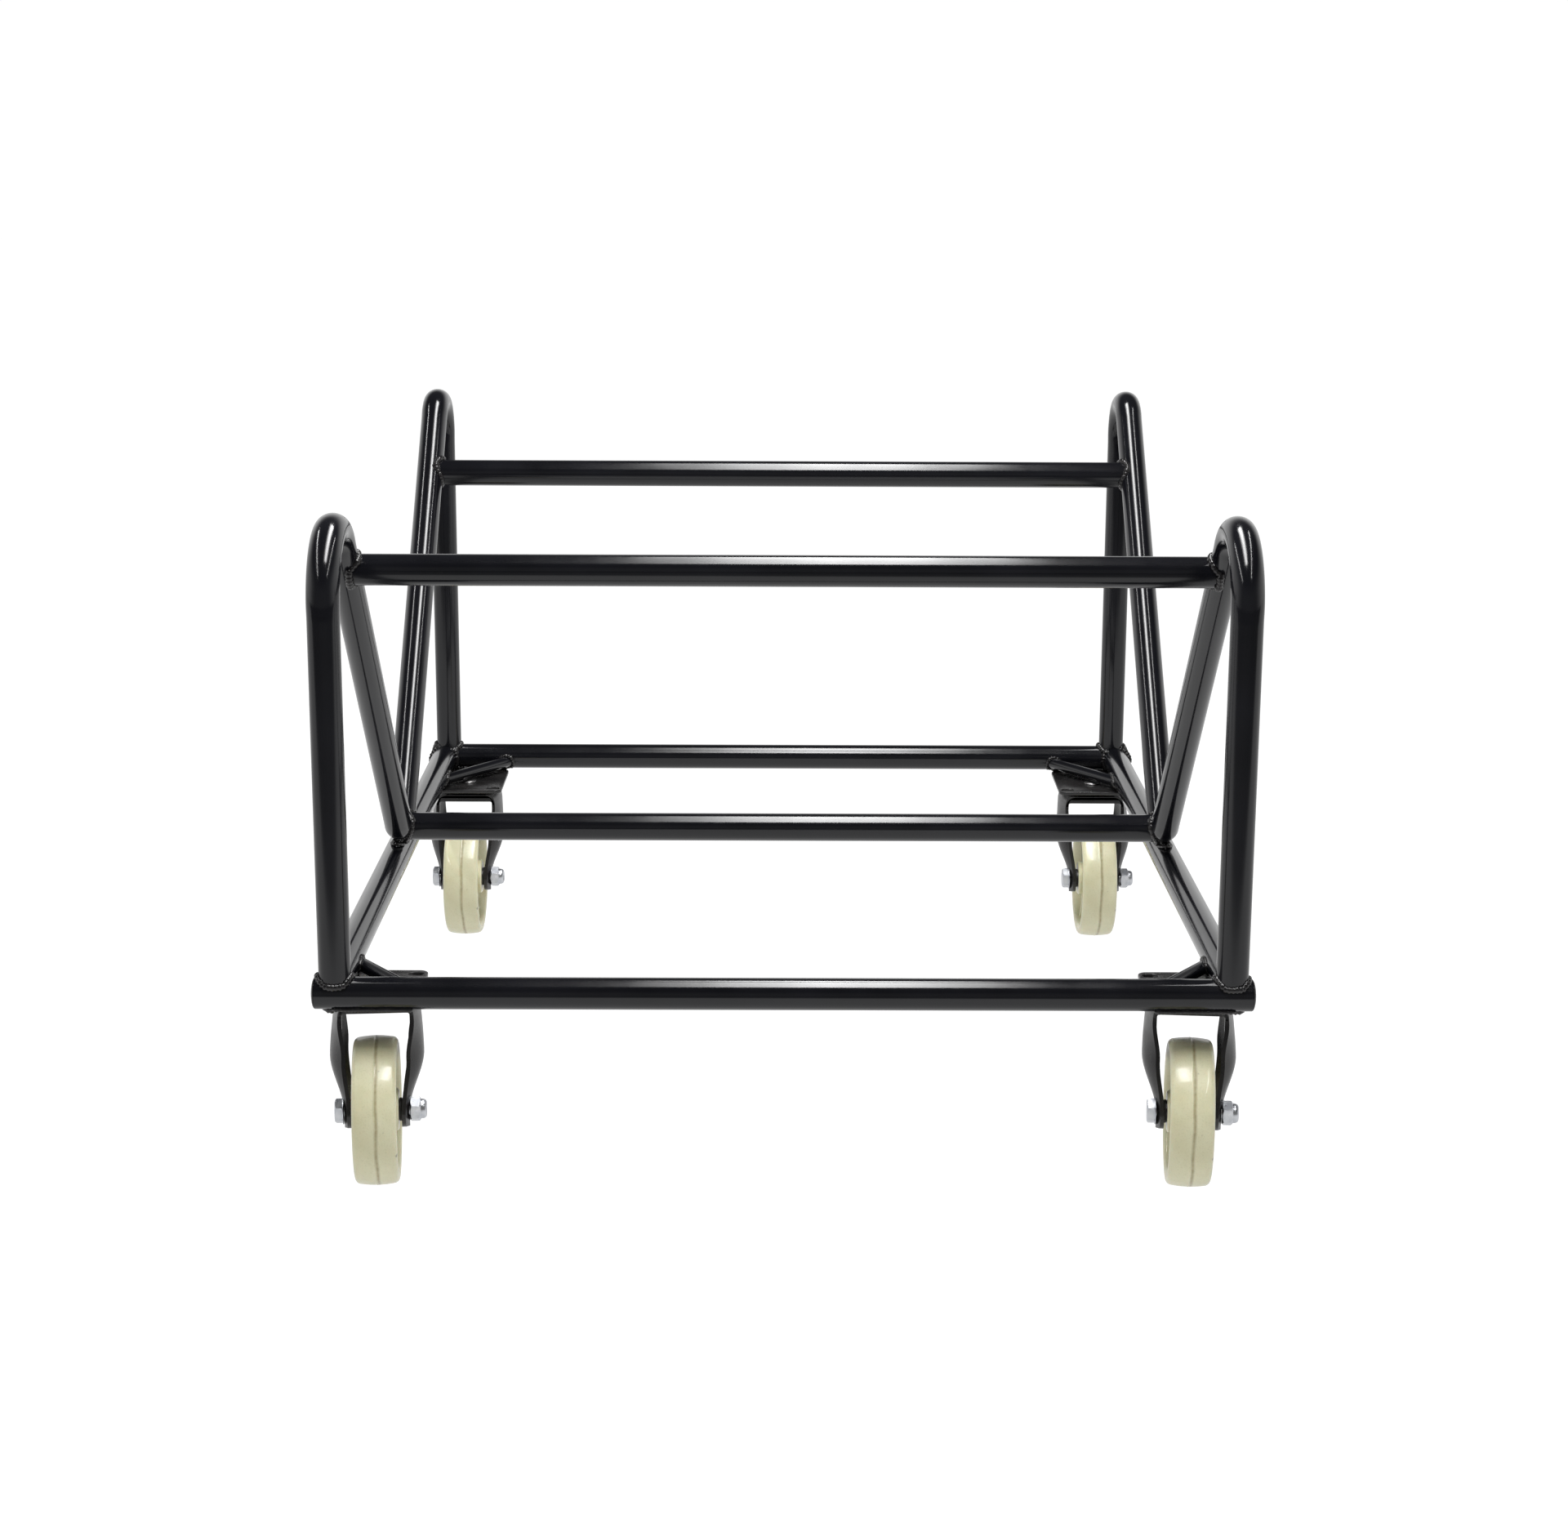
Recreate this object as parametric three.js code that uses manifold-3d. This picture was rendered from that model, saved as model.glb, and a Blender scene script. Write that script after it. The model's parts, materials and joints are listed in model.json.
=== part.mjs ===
// Tubular drum dolly: a welded tube frame that cradles a drum lying on its side, on four
// swivel casters. Millimetres, +Z up. X runs along the drum, Y across it. The origin is on
// the floor, under the middle of the object's box.
//
// The frame is drawn about its own datum first: the centre line of the base tubes is at
// height 0 and the V of the side hoops is at Y 0. The last lines lift and shift the whole
// group, so that the wheels stand on Z 0 and the box is centred on the origin.

import * as THREE from 'three';
import { mergeVertices } from 'three/addons/utils/BufferGeometryUtils.js';
import Module from 'manifold-3d';

const wasm = await Module();
wasm.setup();

// ---- driving dimensions: frame ----
const TUBE_OD = 27;
const TUBE_WALL = 2;
const TUBE_SIDES = 12;
const HOOP_SPACING = 745; // between the two side hoops' planes
const BASE_LENGTH = 876; // between the front and rear cross tubes' centre lines
const RAIL_SPACING = 754; // between the two side rails, a little wider than the hoops
const VEE_HEIGHT = 22.6; // height at which the 45 degree legs' centre lines would meet
const VEE_RADIUS = 20; // centre-line radius of the bend at the foot of the V
const FRONT_LOOP_RADIUS = 57.5; // centre-line radius of the bend at the top of each front post
const REAR_LOOP_RADIUS = 41;
const MIDDLE_TUBE_HEIGHT = 30.6;
const TOP_RAIL_HEIGHT = 335.6;
const TOP_RAIL_Y = 317; // just outboard of the legs' centre lines at that height
const TUBE_OVERHANG = 3; // cross tube past the hoop's outer side
const CAP_DOME = 3;
const CAP_DEPTH = 8; // how far a cap's plug goes into the tube
const CAP_INSET = 0.5; // cap's rim inside the tube's outer surface
const CAP_CURVE = [[0.86, 0.65], [0.5, 0.95]]; // [share of the rim's radius, share of the dome]
const BRACE_DIAMETER = 12;
const BRACE_HEIGHT = -4;
const BRACE_ON_CROSS_TUBE = 308; // distance of the brace's front end from the middle plane
const BRACE_ON_SIDE_RAIL = 345; // distance of its other end from the hoops' V plane
const BRACE_REACH = 30; // extra length at each end, cut away again along the tubes' outlines
const SADDLE = 6; // how far short of the hoop's plane a coped tube is cut off
const GAP = 0.3; // clearance left between pieces that meet
const CUTTER = 60; // how far a cutting tool reaches, past whatever it cuts
const SAME_POINT = 1e-4; // points this close are one point
const LOOP_STEPS = 7;
const VEE_STEPS = 4;
const CORNER_STEPS = 3;

// ---- driving dimensions: casters ----
// Swivel axes from the middle plane, and how far the casters stand turned inwards, in degrees.
const SWIVEL_X = { front: 347.5, rear: 345 };
const CASTER_TURN = { front: 5, rear: 0 };
const SWIVEL_Y = 372;
const PLATE = { x: 80, y: 102, thick: 3.5, corner: 8 };
const PLATE_OFFSET = 8; // plate's middle outboard of its swivel axis
const SLOT = { x: 60, y: 80, radius: 4.5, length: 14 };
const TRAIL = 46; // axle behind the swivel axis
const WHEEL_RADIUS = 63.5;
const WHEEL_WIDTH = 37;
const WHEEL_SIDES = 32;
const HUB_RADIUS = 18;
const WEB = { radius: 50, half: 6 }; // recessed disc between the hub and the rim
const RIM = { radius: 54, inset: 1.5 }; // flat edge of the rim, inside the hub's face
const TREAD_SHOULDER = { radius: 60, inset: 3 };
const TREAD_FLAT = 8; // half width of the tread's flat middle
const CASTER_HEIGHT = 159.2; // floor to the top of the plate
const RACE_HEIGHT = 4;
const RACE_RADIUS = 27;
const RACE_RIM = 1.2; // height of the race's upright edge
const RACE_DRAFT = 2; // how much smaller the race is at its top
const RACE_CLEARANCE = 2; // between the race and the kingpin
const SHEET = 3.5; // fork sheet thickness
const FORK_HALF = 37; // half width over the fork legs at the crown
const FORK_BULGE = 3; // how far the legs swell past that halfway down
const FORK_TIP_HALF = 27.5; // half width over the fork legs at the axle
const CROWN_DEPTH = 64;
const CROWN_LIP = 10.6; // height of the crown's turned-down edge
const CROWN_OVERLAP = 2; // the crown's sides run this far down into the legs
const SHOULDER = 11; // bend radius between the crown and the legs
const TIP_RADIUS = 15;
const TIP_FLAT = 2; // half width of the leg's lowest edge
const LEG_TAPER = 0.84; // share of the leg's height over which it leans back and narrows
const LEG_SWELL = 0.75; // share over which it swells outwards
const LEG_PINCH = [0.2, 0.66]; // shares between which it closes in to the axle
const LEG_COLUMNS = 3;
const LEG_ROWS = 9;
const LEG_SAG = 6; // how far the leg's front and rear edges fall back from its middle
const PIN_RADIUS = 6;
const PIN_HEAD_RADIUS = 10;
const PIN_HEAD_HEIGHT = 5;
const PIN_OVERLAP = 1; // shank into its head
const PIN_PROUD = 1; // riveted end above the plate
const BOLT_RADIUS = 6;
const BOLT_FLATS = 19;
const BOLT_HEAD = 7.5;
const NUT_HEIGHT = 11;
const NUT_COLLAR = { height: 3, radius: 8 };
const SLEEVE_RADIUS = 8.5;
const SPACER_RADIUS = 11;
const BORE_CLEARANCE = 0.25;
const SMALL_SIDES = 12; // facets round pins, bolts and their holes
const DISC_SIDES = 16; // facets round races, sleeves and spacers

// ---- derived places ----
const tubeRadius = TUBE_OD / 2;
const hoopX = HOOP_SPACING / 2;
const railX = RAIL_SPACING / 2;
const crossY = BASE_LENGTH / 2;
const wheelTurn = Math.PI / WHEEL_SIDES; // puts a flat of the tread, not a corner, on the floor
const axleHeight = WHEEL_RADIUS * Math.cos(wheelTurn);
const plateTop = -tubeRadius - GAP;
const floorZ = plateTop - CASTER_HEIGHT;
const axleZ = floorZ + axleHeight;

// ---- solids ----
function solid(geometry) {
  const bare = geometry.clone();
  bare.deleteAttribute('normal');
  bare.deleteAttribute('uv');
  const merged = mergeVertices(bare, SAME_POINT);
  const vertProperties = new Float32Array(merged.attributes.position.array);
  const triVerts = new Uint32Array(merged.index.array);
  return new wasm.Manifold(new wasm.Mesh({ numProp: 3, vertProperties, triVerts }));
}

function geometryOf(manifold) {
  const mesh = manifold.getMesh();
  const geometry = new THREE.BufferGeometry();
  geometry.setAttribute('position', new THREE.BufferAttribute(mesh.vertProperties, 3));
  geometry.setIndex(new THREE.BufferAttribute(mesh.triVerts, 1));
  geometry.computeVertexNormals();
  return geometry;
}

function cut(body, ...tools) {
  return tools.reduce((rest, tool) => rest.subtract(tool), body);
}

function join(first, ...others) {
  return others.reduce((sum, other) => sum.add(other), first);
}

function rodAlong(from, to, radius, sides) {
  const start = new THREE.Vector3(...from);
  const end = new THREE.Vector3(...to);
  const direction = end.clone().sub(start);
  const geometry = new THREE.CylinderGeometry(radius, radius, direction.length(), sides);
  geometry.rotateY(Math.PI / sides);
  const turn = new THREE.Quaternion().setFromUnitVectors(
    new THREE.Vector3(0, 1, 0), direction.normalize());
  geometry.applyQuaternion(turn);
  geometry.translate(...start.add(end).multiplyScalar(0.5).toArray());
  return solid(geometry);
}

function hollowRod(from, to) {
  const outer = rodAlong(from, to, tubeRadius, TUBE_SIDES);
  const span = new THREE.Vector3(...to).sub(new THREE.Vector3(...from)).setLength(1);
  const past = new THREE.Vector3(...to).add(span).toArray();
  const before = new THREE.Vector3(...from).sub(span).toArray();
  return cut(outer, rodAlong(before, past, tubeRadius - TUBE_WALL, TUBE_SIDES));
}

// A drum or disc about the X axis from x0 to x1.
function discX(x0, x1, y, z, radius, sides) {
  return rodAlong([x0, y, z], [x1, y, z], radius, sides);
}

function discZ(z0, z1, x, y, radius, sides) {
  return rodAlong([x, y, z0], [x, y, z1], radius, sides);
}

// ---- tube bent in the plane X = constant ----
// The path keeps one ring of the tube at each given point.
class BentPath extends THREE.Curve {
  constructor(points) {
    super();
    this.points = points;
  }

  getPoint(t) {
    return this.points[Math.round(t * (this.points.length - 1))].clone();
  }

  getPointAt(u) {
    return this.getPoint(u);
  }

  getTangentAt(u) {
    const i = Math.round(u * (this.points.length - 1));
    const tangent = new THREE.Vector3();
    if (i > 0) {
      tangent.add(this.points[i].clone().sub(this.points[i - 1]).normalize());
    }
    if (i < this.points.length - 1) {
      tangent.add(this.points[i + 1].clone().sub(this.points[i]).normalize());
    }
    return tangent.normalize();
  }
}

function arcPoints(x, y, z, radius, fromAngle, toAngle, steps) {
  const points = [];
  for (let i = 0; i <= steps; i += 1) {
    const a = fromAngle + ((toAngle - fromAngle) * i) / steps;
    points.push(new THREE.Vector3(x, y + radius * Math.cos(a), z + radius * Math.sin(a)));
  }
  return points;
}

function ringShape(outerRadius, innerRadius) {
  const corner = (radius, i) => {
    const a = ((i + 0.5) * 2 * Math.PI) / TUBE_SIDES;
    return new THREE.Vector2(radius * Math.cos(a), radius * Math.sin(a));
  };
  const ring = (radius) => [...Array(TUBE_SIDES).keys()].map((i) => corner(radius, i));
  const shape = new THREE.Shape(ring(outerRadius));
  if (innerRadius > 0) {
    shape.holes.push(new THREE.Path(ring(innerRadius)));
  }
  return shape;
}

// Half a hoop in the front half of the frame: the post, then the loop as far as the leg.
function postAndLoop(x, radius) {
  const loopY = crossY - radius;
  const loopZ = crossY + VEE_HEIGHT - radius * (1 + Math.SQRT2);
  return [
    new THREE.Vector3(x, -crossY, 0),
    ...arcPoints(x, -loopY, loopZ, radius, Math.PI, Math.PI / 4, LOOP_STEPS),
  ];
}

// One hoop: front post, loop, 45 degree leg, V bend, leg, loop, rear post.
function hoopPath(x) {
  const veeZ = VEE_HEIGHT + VEE_RADIUS * Math.SQRT2;
  const front = postAndLoop(x, FRONT_LOOP_RADIUS);
  const vee = arcPoints(x, 0, veeZ, VEE_RADIUS, -0.75 * Math.PI, -0.25 * Math.PI, VEE_STEPS);
  const rear = postAndLoop(x, REAR_LOOP_RADIUS);
  const mirrored = rear.map((p) => new THREE.Vector3(p.x, -p.y, p.z)).reverse();
  return new BentPath([...front, ...vee, ...mirrored]);
}

function bentTube(path, outerRadius, innerRadius) {
  const geometry = new THREE.ExtrudeGeometry(ringShape(outerRadius, innerRadius), {
    steps: path.points.length - 1,
    extrudePath: path,
    bevelEnabled: false,
  });
  return solid(geometry);
}

// ---- materials ----
function finish(colour, roughness, metalness) {
  return new THREE.MeshStandardMaterial({ color: colour, roughness, metalness });
}

const looks = {
  paint: () => finish(0x1b1a1c, 0.3, 0.1),
  nylon: () => finish(0xcfcaa8, 0.3, 0),
  zinc: () => finish(0xb9bcc0, 0.3, 1),
  steel: () => finish(0x8d8f92, 0.35, 1),
  plastic: () => finish(0x1c1c1e, 0.55, 0),
};

const dolly = new THREE.Group();

function add(name, look, manifold) {
  const mesh = new THREE.Mesh(geometryOf(manifold), looks[look]());
  mesh.name = name;
  dolly.add(mesh);
}

// ---- frame tubes ----
const ENDS = [['front', -1], ['rear', 1]];
const SIDES = [['left', -1], ['right', 1]];
const gapRadius = tubeRadius + GAP;
const crossEnd = hoopX + tubeRadius + TUBE_OVERHANG;

const crossTool = (end) => rodAlong(
  [-crossEnd - CUTTER, end * crossY, 0],
  [crossEnd + CUTTER, end * crossY, 0],
  gapRadius,
  TUBE_SIDES);
const hoopTool = (side) => bentTube(hoopPath(side * hoopX), gapRadius, 0);

for (const [end, e] of ENDS) {
  add(`${end}_cross_tube`, 'paint', hollowRod([-crossEnd, e * crossY, 0], [crossEnd, e * crossY, 0]));
}

for (const [side, s] of SIDES) {
  const rail = hollowRod([s * railX, -crossY, 0], [s * railX, crossY, 0]);
  add(`${side}_side_rail`, 'paint', cut(rail, crossTool(-1), crossTool(1), hoopTool(s)));
  const hoop = bentTube(hoopPath(s * hoopX), tubeRadius, tubeRadius - TUBE_WALL);
  add(`${side}_side_hoop`, 'paint', cut(hoop, crossTool(-1), crossTool(1)));
}

const railEnd = hoopX - SADDLE;
const middle = hollowRod([-railEnd, 0, MIDDLE_TUBE_HEIGHT], [railEnd, 0, MIDDLE_TUBE_HEIGHT]);
add('middle_cross_tube', 'paint', cut(middle, hoopTool(-1), hoopTool(1)));

for (const [end, e] of ENDS) {
  const rail = hollowRod(
    [-railEnd, e * TOP_RAIL_Y, TOP_RAIL_HEIGHT], [railEnd, e * TOP_RAIL_Y, TOP_RAIL_HEIGHT]);
  add(`${end}_top_rail`, 'paint', cut(rail, hoopTool(-1), hoopTool(1)));
}

// ---- domed caps in the open ends of the cross tubes ----
function endCap(s, y) {
  const plug = tubeRadius - TUBE_WALL - GAP;
  const rim = tubeRadius - CAP_INSET;
  const profile = [
    new THREE.Vector2(0, -CAP_DEPTH),
    new THREE.Vector2(plug, -CAP_DEPTH),
    new THREE.Vector2(plug, GAP),
    new THREE.Vector2(rim, GAP),
    ...CAP_CURVE.map(([out, up]) => new THREE.Vector2(rim * out, GAP + CAP_DOME * up)),
    new THREE.Vector2(0, GAP + CAP_DOME),
  ];
  const geometry = new THREE.LatheGeometry(profile, TUBE_SIDES, Math.PI / TUBE_SIDES);
  geometry.rotateZ(-s * Math.PI / 2);
  geometry.translate(s * crossEnd, y, 0);
  return solid(geometry);
}

for (const [end, e] of ENDS) {
  for (const [side, s] of SIDES) {
    add(`${end}_${side}_end_cap`, 'paint', endCap(s, e * crossY));
  }
}

// ---- diagonal braces across the base corners ----
function cornerBrace(s, e) {
  const start = new THREE.Vector2(BRACE_ON_CROSS_TUBE, crossY - tubeRadius);
  const stop = new THREE.Vector2(railX - tubeRadius, BRACE_ON_SIDE_RAIL);
  const extra = stop.clone().sub(start).setLength(BRACE_REACH);
  const rod = rodAlong(
    [s * (start.x - extra.x), e * (start.y - extra.y), BRACE_HEIGHT],
    [s * (stop.x + extra.x), e * (stop.y + extra.y), BRACE_HEIGHT],
    BRACE_DIAMETER / 2,
    SMALL_SIDES);
  const railTool = rodAlong([s * railX, -crossY, 0], [s * railX, crossY, 0], gapRadius, TUBE_SIDES);
  const inside = solid(new THREE.BoxGeometry(2 * railX, 2 * crossY, CUTTER));
  return cut(rod, railTool, crossTool(e)).intersect(inside);
}

for (const [end, e] of ENDS) {
  for (const [side, s] of SIDES) {
    add(`${end}_${side}_corner_brace`, 'paint', cornerBrace(s, e));
  }
}

// ---- caster pieces, each drawn about its own swivel axis at X 0, Y 0 ----
const plateBottom = plateTop - PLATE.thick;
const crownTop = plateBottom - RACE_HEIGHT - 2 * GAP;
const pinHeadTop = crownTop - SHEET - GAP;

function roundedRectangle(width, length, corner) {
  const shape = new THREE.Shape();
  const x = width / 2 - corner;
  const y = length / 2 - corner;
  shape.absarc(x, y, corner, 0, Math.PI / 2);
  shape.absarc(-x, y, corner, Math.PI / 2, Math.PI);
  shape.absarc(-x, -y, corner, Math.PI, 1.5 * Math.PI);
  shape.absarc(x, -y, corner, 1.5 * Math.PI, 2 * Math.PI);
  return shape;
}

function slotHole(x, y) {
  const half = SLOT.length / 2 - SLOT.radius;
  const hole = new THREE.Path();
  hole.absarc(x + half, y, SLOT.radius, -Math.PI / 2, Math.PI / 2);
  hole.absarc(x - half, y, SLOT.radius, Math.PI / 2, 1.5 * Math.PI);
  return hole;
}

function pinHole(z0, z1) {
  return discZ(z0, z1, 0, 0, PIN_RADIUS + GAP, SMALL_SIDES);
}

function topPlate(e) {
  const shape = roundedRectangle(PLATE.x, PLATE.y, PLATE.corner);
  for (const sx of [-1, 1]) {
    for (const sy of [-1, 1]) {
      shape.holes.push(slotHole((sx * SLOT.x) / 2, (sy * SLOT.y) / 2));
    }
  }
  const geometry = new THREE.ExtrudeGeometry(shape, {
    depth: PLATE.thick, bevelEnabled: false, curveSegments: CORNER_STEPS,
  });
  geometry.translate(0, e * PLATE_OFFSET, plateBottom);
  return cut(solid(geometry), pinHole(plateBottom - CUTTER, plateTop + CUTTER));
}

function kingpin() {
  const shank = discZ(
    pinHeadTop - PIN_OVERLAP, plateTop + PIN_PROUD, 0, 0, PIN_RADIUS, SMALL_SIDES);
  const headBottom = pinHeadTop - PIN_HEAD_HEIGHT;
  return join(shank, discZ(headBottom, pinHeadTop, 0, 0, PIN_HEAD_RADIUS, SMALL_SIDES));
}

function swivelRace() {
  const bottom = crownTop + GAP;
  const top = plateBottom - GAP;
  const inner = PIN_RADIUS + RACE_CLEARANCE;
  const profile = [
    new THREE.Vector2(inner, bottom),
    new THREE.Vector2(RACE_RADIUS, bottom),
    new THREE.Vector2(RACE_RADIUS, bottom + RACE_RIM),
    new THREE.Vector2(RACE_RADIUS - RACE_DRAFT, top),
    new THREE.Vector2(inner, top),
    new THREE.Vector2(inner, bottom),
  ];
  const geometry = new THREE.LatheGeometry(profile, DISC_SIDES);
  geometry.rotateX(Math.PI / 2);
  return solid(geometry);
}

// The sheet of one fork leg: a box bent so that it starts square under the crown, swells
// outwards, and closes in to a round flat tip at the axle.
function forkLeg(s) {
  const geometry = new THREE.BoxGeometry(1, 1, 1, 1, LEG_COLUMNS, LEG_ROWS);
  const position = geometry.attributes.position;
  const top = crownTop - SHOULDER;
  const tip = axleZ - TIP_RADIUS;
  for (let i = 0; i < position.count; i += 1) {
    const outward = position.getX(i) + 0.5;
    const across = 2 * position.getY(i);
    const down = 0.5 - position.getZ(i);
    const z = top + (tip - top) * down;
    const towardsAxle = THREE.MathUtils.smoothstep(down, ...LEG_PINCH);
    const taper = Math.min(1, down / LEG_TAPER);
    const belowAxle = Math.max(0, axleZ - z);
    const tipHalf = Math.sqrt(Math.max(TIP_FLAT ** 2, TIP_RADIUS ** 2 - belowAxle ** 2));
    const half = THREE.MathUtils.lerp(CROWN_DEPTH / 2, tipHalf, taper);
    const y = -TRAIL * taper + across * half;
    const swell = Math.sin(Math.PI * Math.min(1, down / LEG_SWELL)) * FORK_BULGE;
    const curve = (1 - towardsAxle) * LEG_SAG * across ** 2;
    const face = THREE.MathUtils.lerp(FORK_HALF + swell - curve, FORK_TIP_HALF, towardsAxle);
    position.setXYZ(i, s * (face - SHEET * (1 - outward)), y, z);
  }
  if (s < 0) {
    const index = geometry.index.array;
    for (let i = 0; i < index.length; i += 3) {
      [index[i], index[i + 1]] = [index[i + 1], index[i]];
    }
  }
  return solid(geometry);
}

function crownSlab(shape, depth) {
  const geometry = new THREE.ExtrudeGeometry(shape, {
    depth, bevelEnabled: false, curveSegments: CORNER_STEPS,
  });
  geometry.rotateX(Math.PI / 2);
  geometry.translate(0, depth / 2, 0);
  return solid(geometry);
}

// Front view of the crown, shrunk by the inset and open at the bottom.
function crownOutline(inset, low) {
  const half = FORK_HALF - inset;
  const bend = SHOULDER - inset;
  const middle = half - bend;
  const shape = new THREE.Shape();
  shape.moveTo(half, low);
  shape.lineTo(half, crownTop - SHOULDER);
  shape.absarc(middle, crownTop - SHOULDER, bend, 0, Math.PI / 2);
  shape.absarc(-middle, crownTop - SHOULDER, bend, Math.PI / 2, Math.PI);
  shape.lineTo(-half, low);
  return shape;
}

function crown() {
  const low = crownTop - SHOULDER - CROWN_OVERLAP;
  const outer = crownSlab(crownOutline(0, low), CROWN_DEPTH);
  const hollow = crownSlab(crownOutline(SHEET, low - CUTTER), CROWN_DEPTH + CUTTER);
  const lipTop = crownTop - SHEET / 2;
  const lipBottom = crownTop - CROWN_LIP;
  const lip = new THREE.BoxGeometry(2 * FORK_HALF, SHEET, lipTop - lipBottom);
  lip.translate(0, (SHEET - CROWN_DEPTH) / 2, (lipTop + lipBottom) / 2);
  return join(cut(outer, hollow), solid(lip).intersect(outer));
}

function boltHole() {
  return discX(-CUTTER, CUTTER, -TRAIL, axleZ, BOLT_RADIUS + GAP, SMALL_SIDES);
}

function fork() {
  const whole = join(crown(), forkLeg(-1), forkLeg(1));
  return cut(whole, pinHole(crownTop - SHOULDER, crownTop + SHOULDER), boltHole());
}

function hexagonX(x0, x1) {
  return discX(x0, x1, -TRAIL, axleZ, BOLT_FLATS / Math.sqrt(3), 6);
}

const legFace = FORK_TIP_HALF + GAP;

const nutTop = legFace + NUT_HEIGHT;

function axleBolt() {
  const shank = discX(-legFace - PIN_OVERLAP, nutTop, -TRAIL, axleZ, BOLT_RADIUS, SMALL_SIDES);
  return join(shank, hexagonX(-legFace - BOLT_HEAD, -legFace));
}

function axleNut() {
  const collar = discX(
    nutTop - PIN_OVERLAP, nutTop + NUT_COLLAR.height, -TRAIL, axleZ, NUT_COLLAR.radius, SMALL_SIDES);
  const bore = discX(0, nutTop + GAP, -TRAIL, axleZ, BOLT_RADIUS + GAP, SMALL_SIDES);
  return cut(join(hexagonX(legFace, nutTop), collar), bore);
}

const insideLegs = FORK_TIP_HALF - SHEET - GAP;

function axleSleeve() {
  const body = discX(-insideLegs, insideLegs, -TRAIL, axleZ, SLEEVE_RADIUS, DISC_SIDES);
  return cut(body, boltHole());
}

const hubHalf = WHEEL_WIDTH / 2;

function spacer(s) {
  const body = discX(
    s * (hubHalf + GAP), s * insideLegs, -TRAIL, axleZ, SPACER_RADIUS, DISC_SIDES);
  const hole = discX(-CUTTER, CUTTER, -TRAIL, axleZ, SLEEVE_RADIUS + GAP, DISC_SIDES);
  return cut(body, hole);
}

// Crowned tread, rim, recessed web and hub, with the bore for the sleeve.
function wheel() {
  const bore = (SLEEVE_RADIUS + BORE_CLEARANCE) / Math.cos(wheelTurn);
  const side = [
    [bore, hubHalf],
    [HUB_RADIUS, hubHalf],
    [HUB_RADIUS, WEB.half],
    [WEB.radius, WEB.half],
    [RIM.radius, hubHalf - RIM.inset],
    [TREAD_SHOULDER.radius, hubHalf - TREAD_SHOULDER.inset],
    [WHEEL_RADIUS, TREAD_FLAT],
  ];
  const points = side.map(([r, x]) => new THREE.Vector2(r, x));
  const mirrored = side.map(([r, x]) => new THREE.Vector2(r, -x)).reverse();
  const profile = [...points, ...mirrored, points[0].clone()].reverse();
  const geometry = new THREE.LatheGeometry(profile, WHEEL_SIDES, wheelTurn);
  geometry.rotateZ(-Math.PI / 2);
  geometry.translate(0, -TRAIL, axleZ);
  return solid(geometry);
}

const turningPieces = [
  ['swivel_race', 'paint', swivelRace()],
  ['fork', 'paint', fork()],
  ['axle_bolt', 'zinc', axleBolt()],
  ['axle_nut', 'zinc', axleNut()],
  ['axle_sleeve', 'steel', axleSleeve()],
  ['hub_spacer_a', 'plastic', spacer(-1)],
  ['hub_spacer_b', 'plastic', spacer(1)],
  ['wheel', 'nylon', wheel()],
];

for (const [end, e] of ENDS) {
  for (const [side, s] of SIDES) {
    const place = [s * SWIVEL_X[end], e * SWIVEL_Y, 0];
    add(`${end}_${side}_caster_plate`, 'paint', topPlate(e).translate(place));
    add(`${end}_${side}_kingpin`, 'steel', kingpin().translate(place));
    const turn = [0, 0, -s * CASTER_TURN[end]];
    for (const [piece, look, manifold] of turningPieces) {
      add(`${end}_${side}_${piece}`, look, manifold.rotate(turn).translate(place));
    }
  }
}

// ---- stand the object on the floor, with its box centred over the origin ----
dolly.updateMatrixWorld(true);
const box = new THREE.Box3().setFromObject(dolly);
dolly.position.set(0, -(box.min.y + box.max.y) / 2, -floorZ);
dolly.updateMatrixWorld(true);

export default dolly;
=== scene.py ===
# Drum dolly: the fine surfaces, materials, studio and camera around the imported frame.
# Metres. X runs along the drum, Y across it with the front at -Y, Z up from the floor.
import json
from math import atan2, ceil, cos, exp, hypot, pi, radians, sin, sqrt, tan

import bmesh
import bpy
from mathutils import Matrix, Vector, noise


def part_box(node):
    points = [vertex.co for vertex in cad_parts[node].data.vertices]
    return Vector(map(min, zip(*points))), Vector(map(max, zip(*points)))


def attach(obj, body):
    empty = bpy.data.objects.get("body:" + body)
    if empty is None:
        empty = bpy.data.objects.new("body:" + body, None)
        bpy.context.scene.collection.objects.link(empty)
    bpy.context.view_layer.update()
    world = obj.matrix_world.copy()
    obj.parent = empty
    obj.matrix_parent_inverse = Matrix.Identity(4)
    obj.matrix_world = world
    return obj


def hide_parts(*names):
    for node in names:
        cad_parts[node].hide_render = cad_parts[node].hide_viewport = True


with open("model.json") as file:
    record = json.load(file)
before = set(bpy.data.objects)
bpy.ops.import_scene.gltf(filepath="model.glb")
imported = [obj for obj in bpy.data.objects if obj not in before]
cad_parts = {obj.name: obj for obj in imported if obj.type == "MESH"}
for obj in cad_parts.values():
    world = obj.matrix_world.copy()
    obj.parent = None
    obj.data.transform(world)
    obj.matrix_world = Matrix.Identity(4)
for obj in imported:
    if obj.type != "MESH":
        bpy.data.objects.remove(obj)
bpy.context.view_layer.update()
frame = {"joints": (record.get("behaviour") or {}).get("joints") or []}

# ---- frame sizes ----
TUBE_RADIUS = 0.0135
TUBE_WALL = 0.002
TUBE_SIDES = 64
FRONT_LOOP_RADIUS = 0.0575  # centre-line radius, as for the next two
REAR_LOOP_RADIUS = 0.041
VEE_RADIUS = 0.020
VEE_MEETING = 0.0226  # height where the legs meet, above the base tubes
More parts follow.
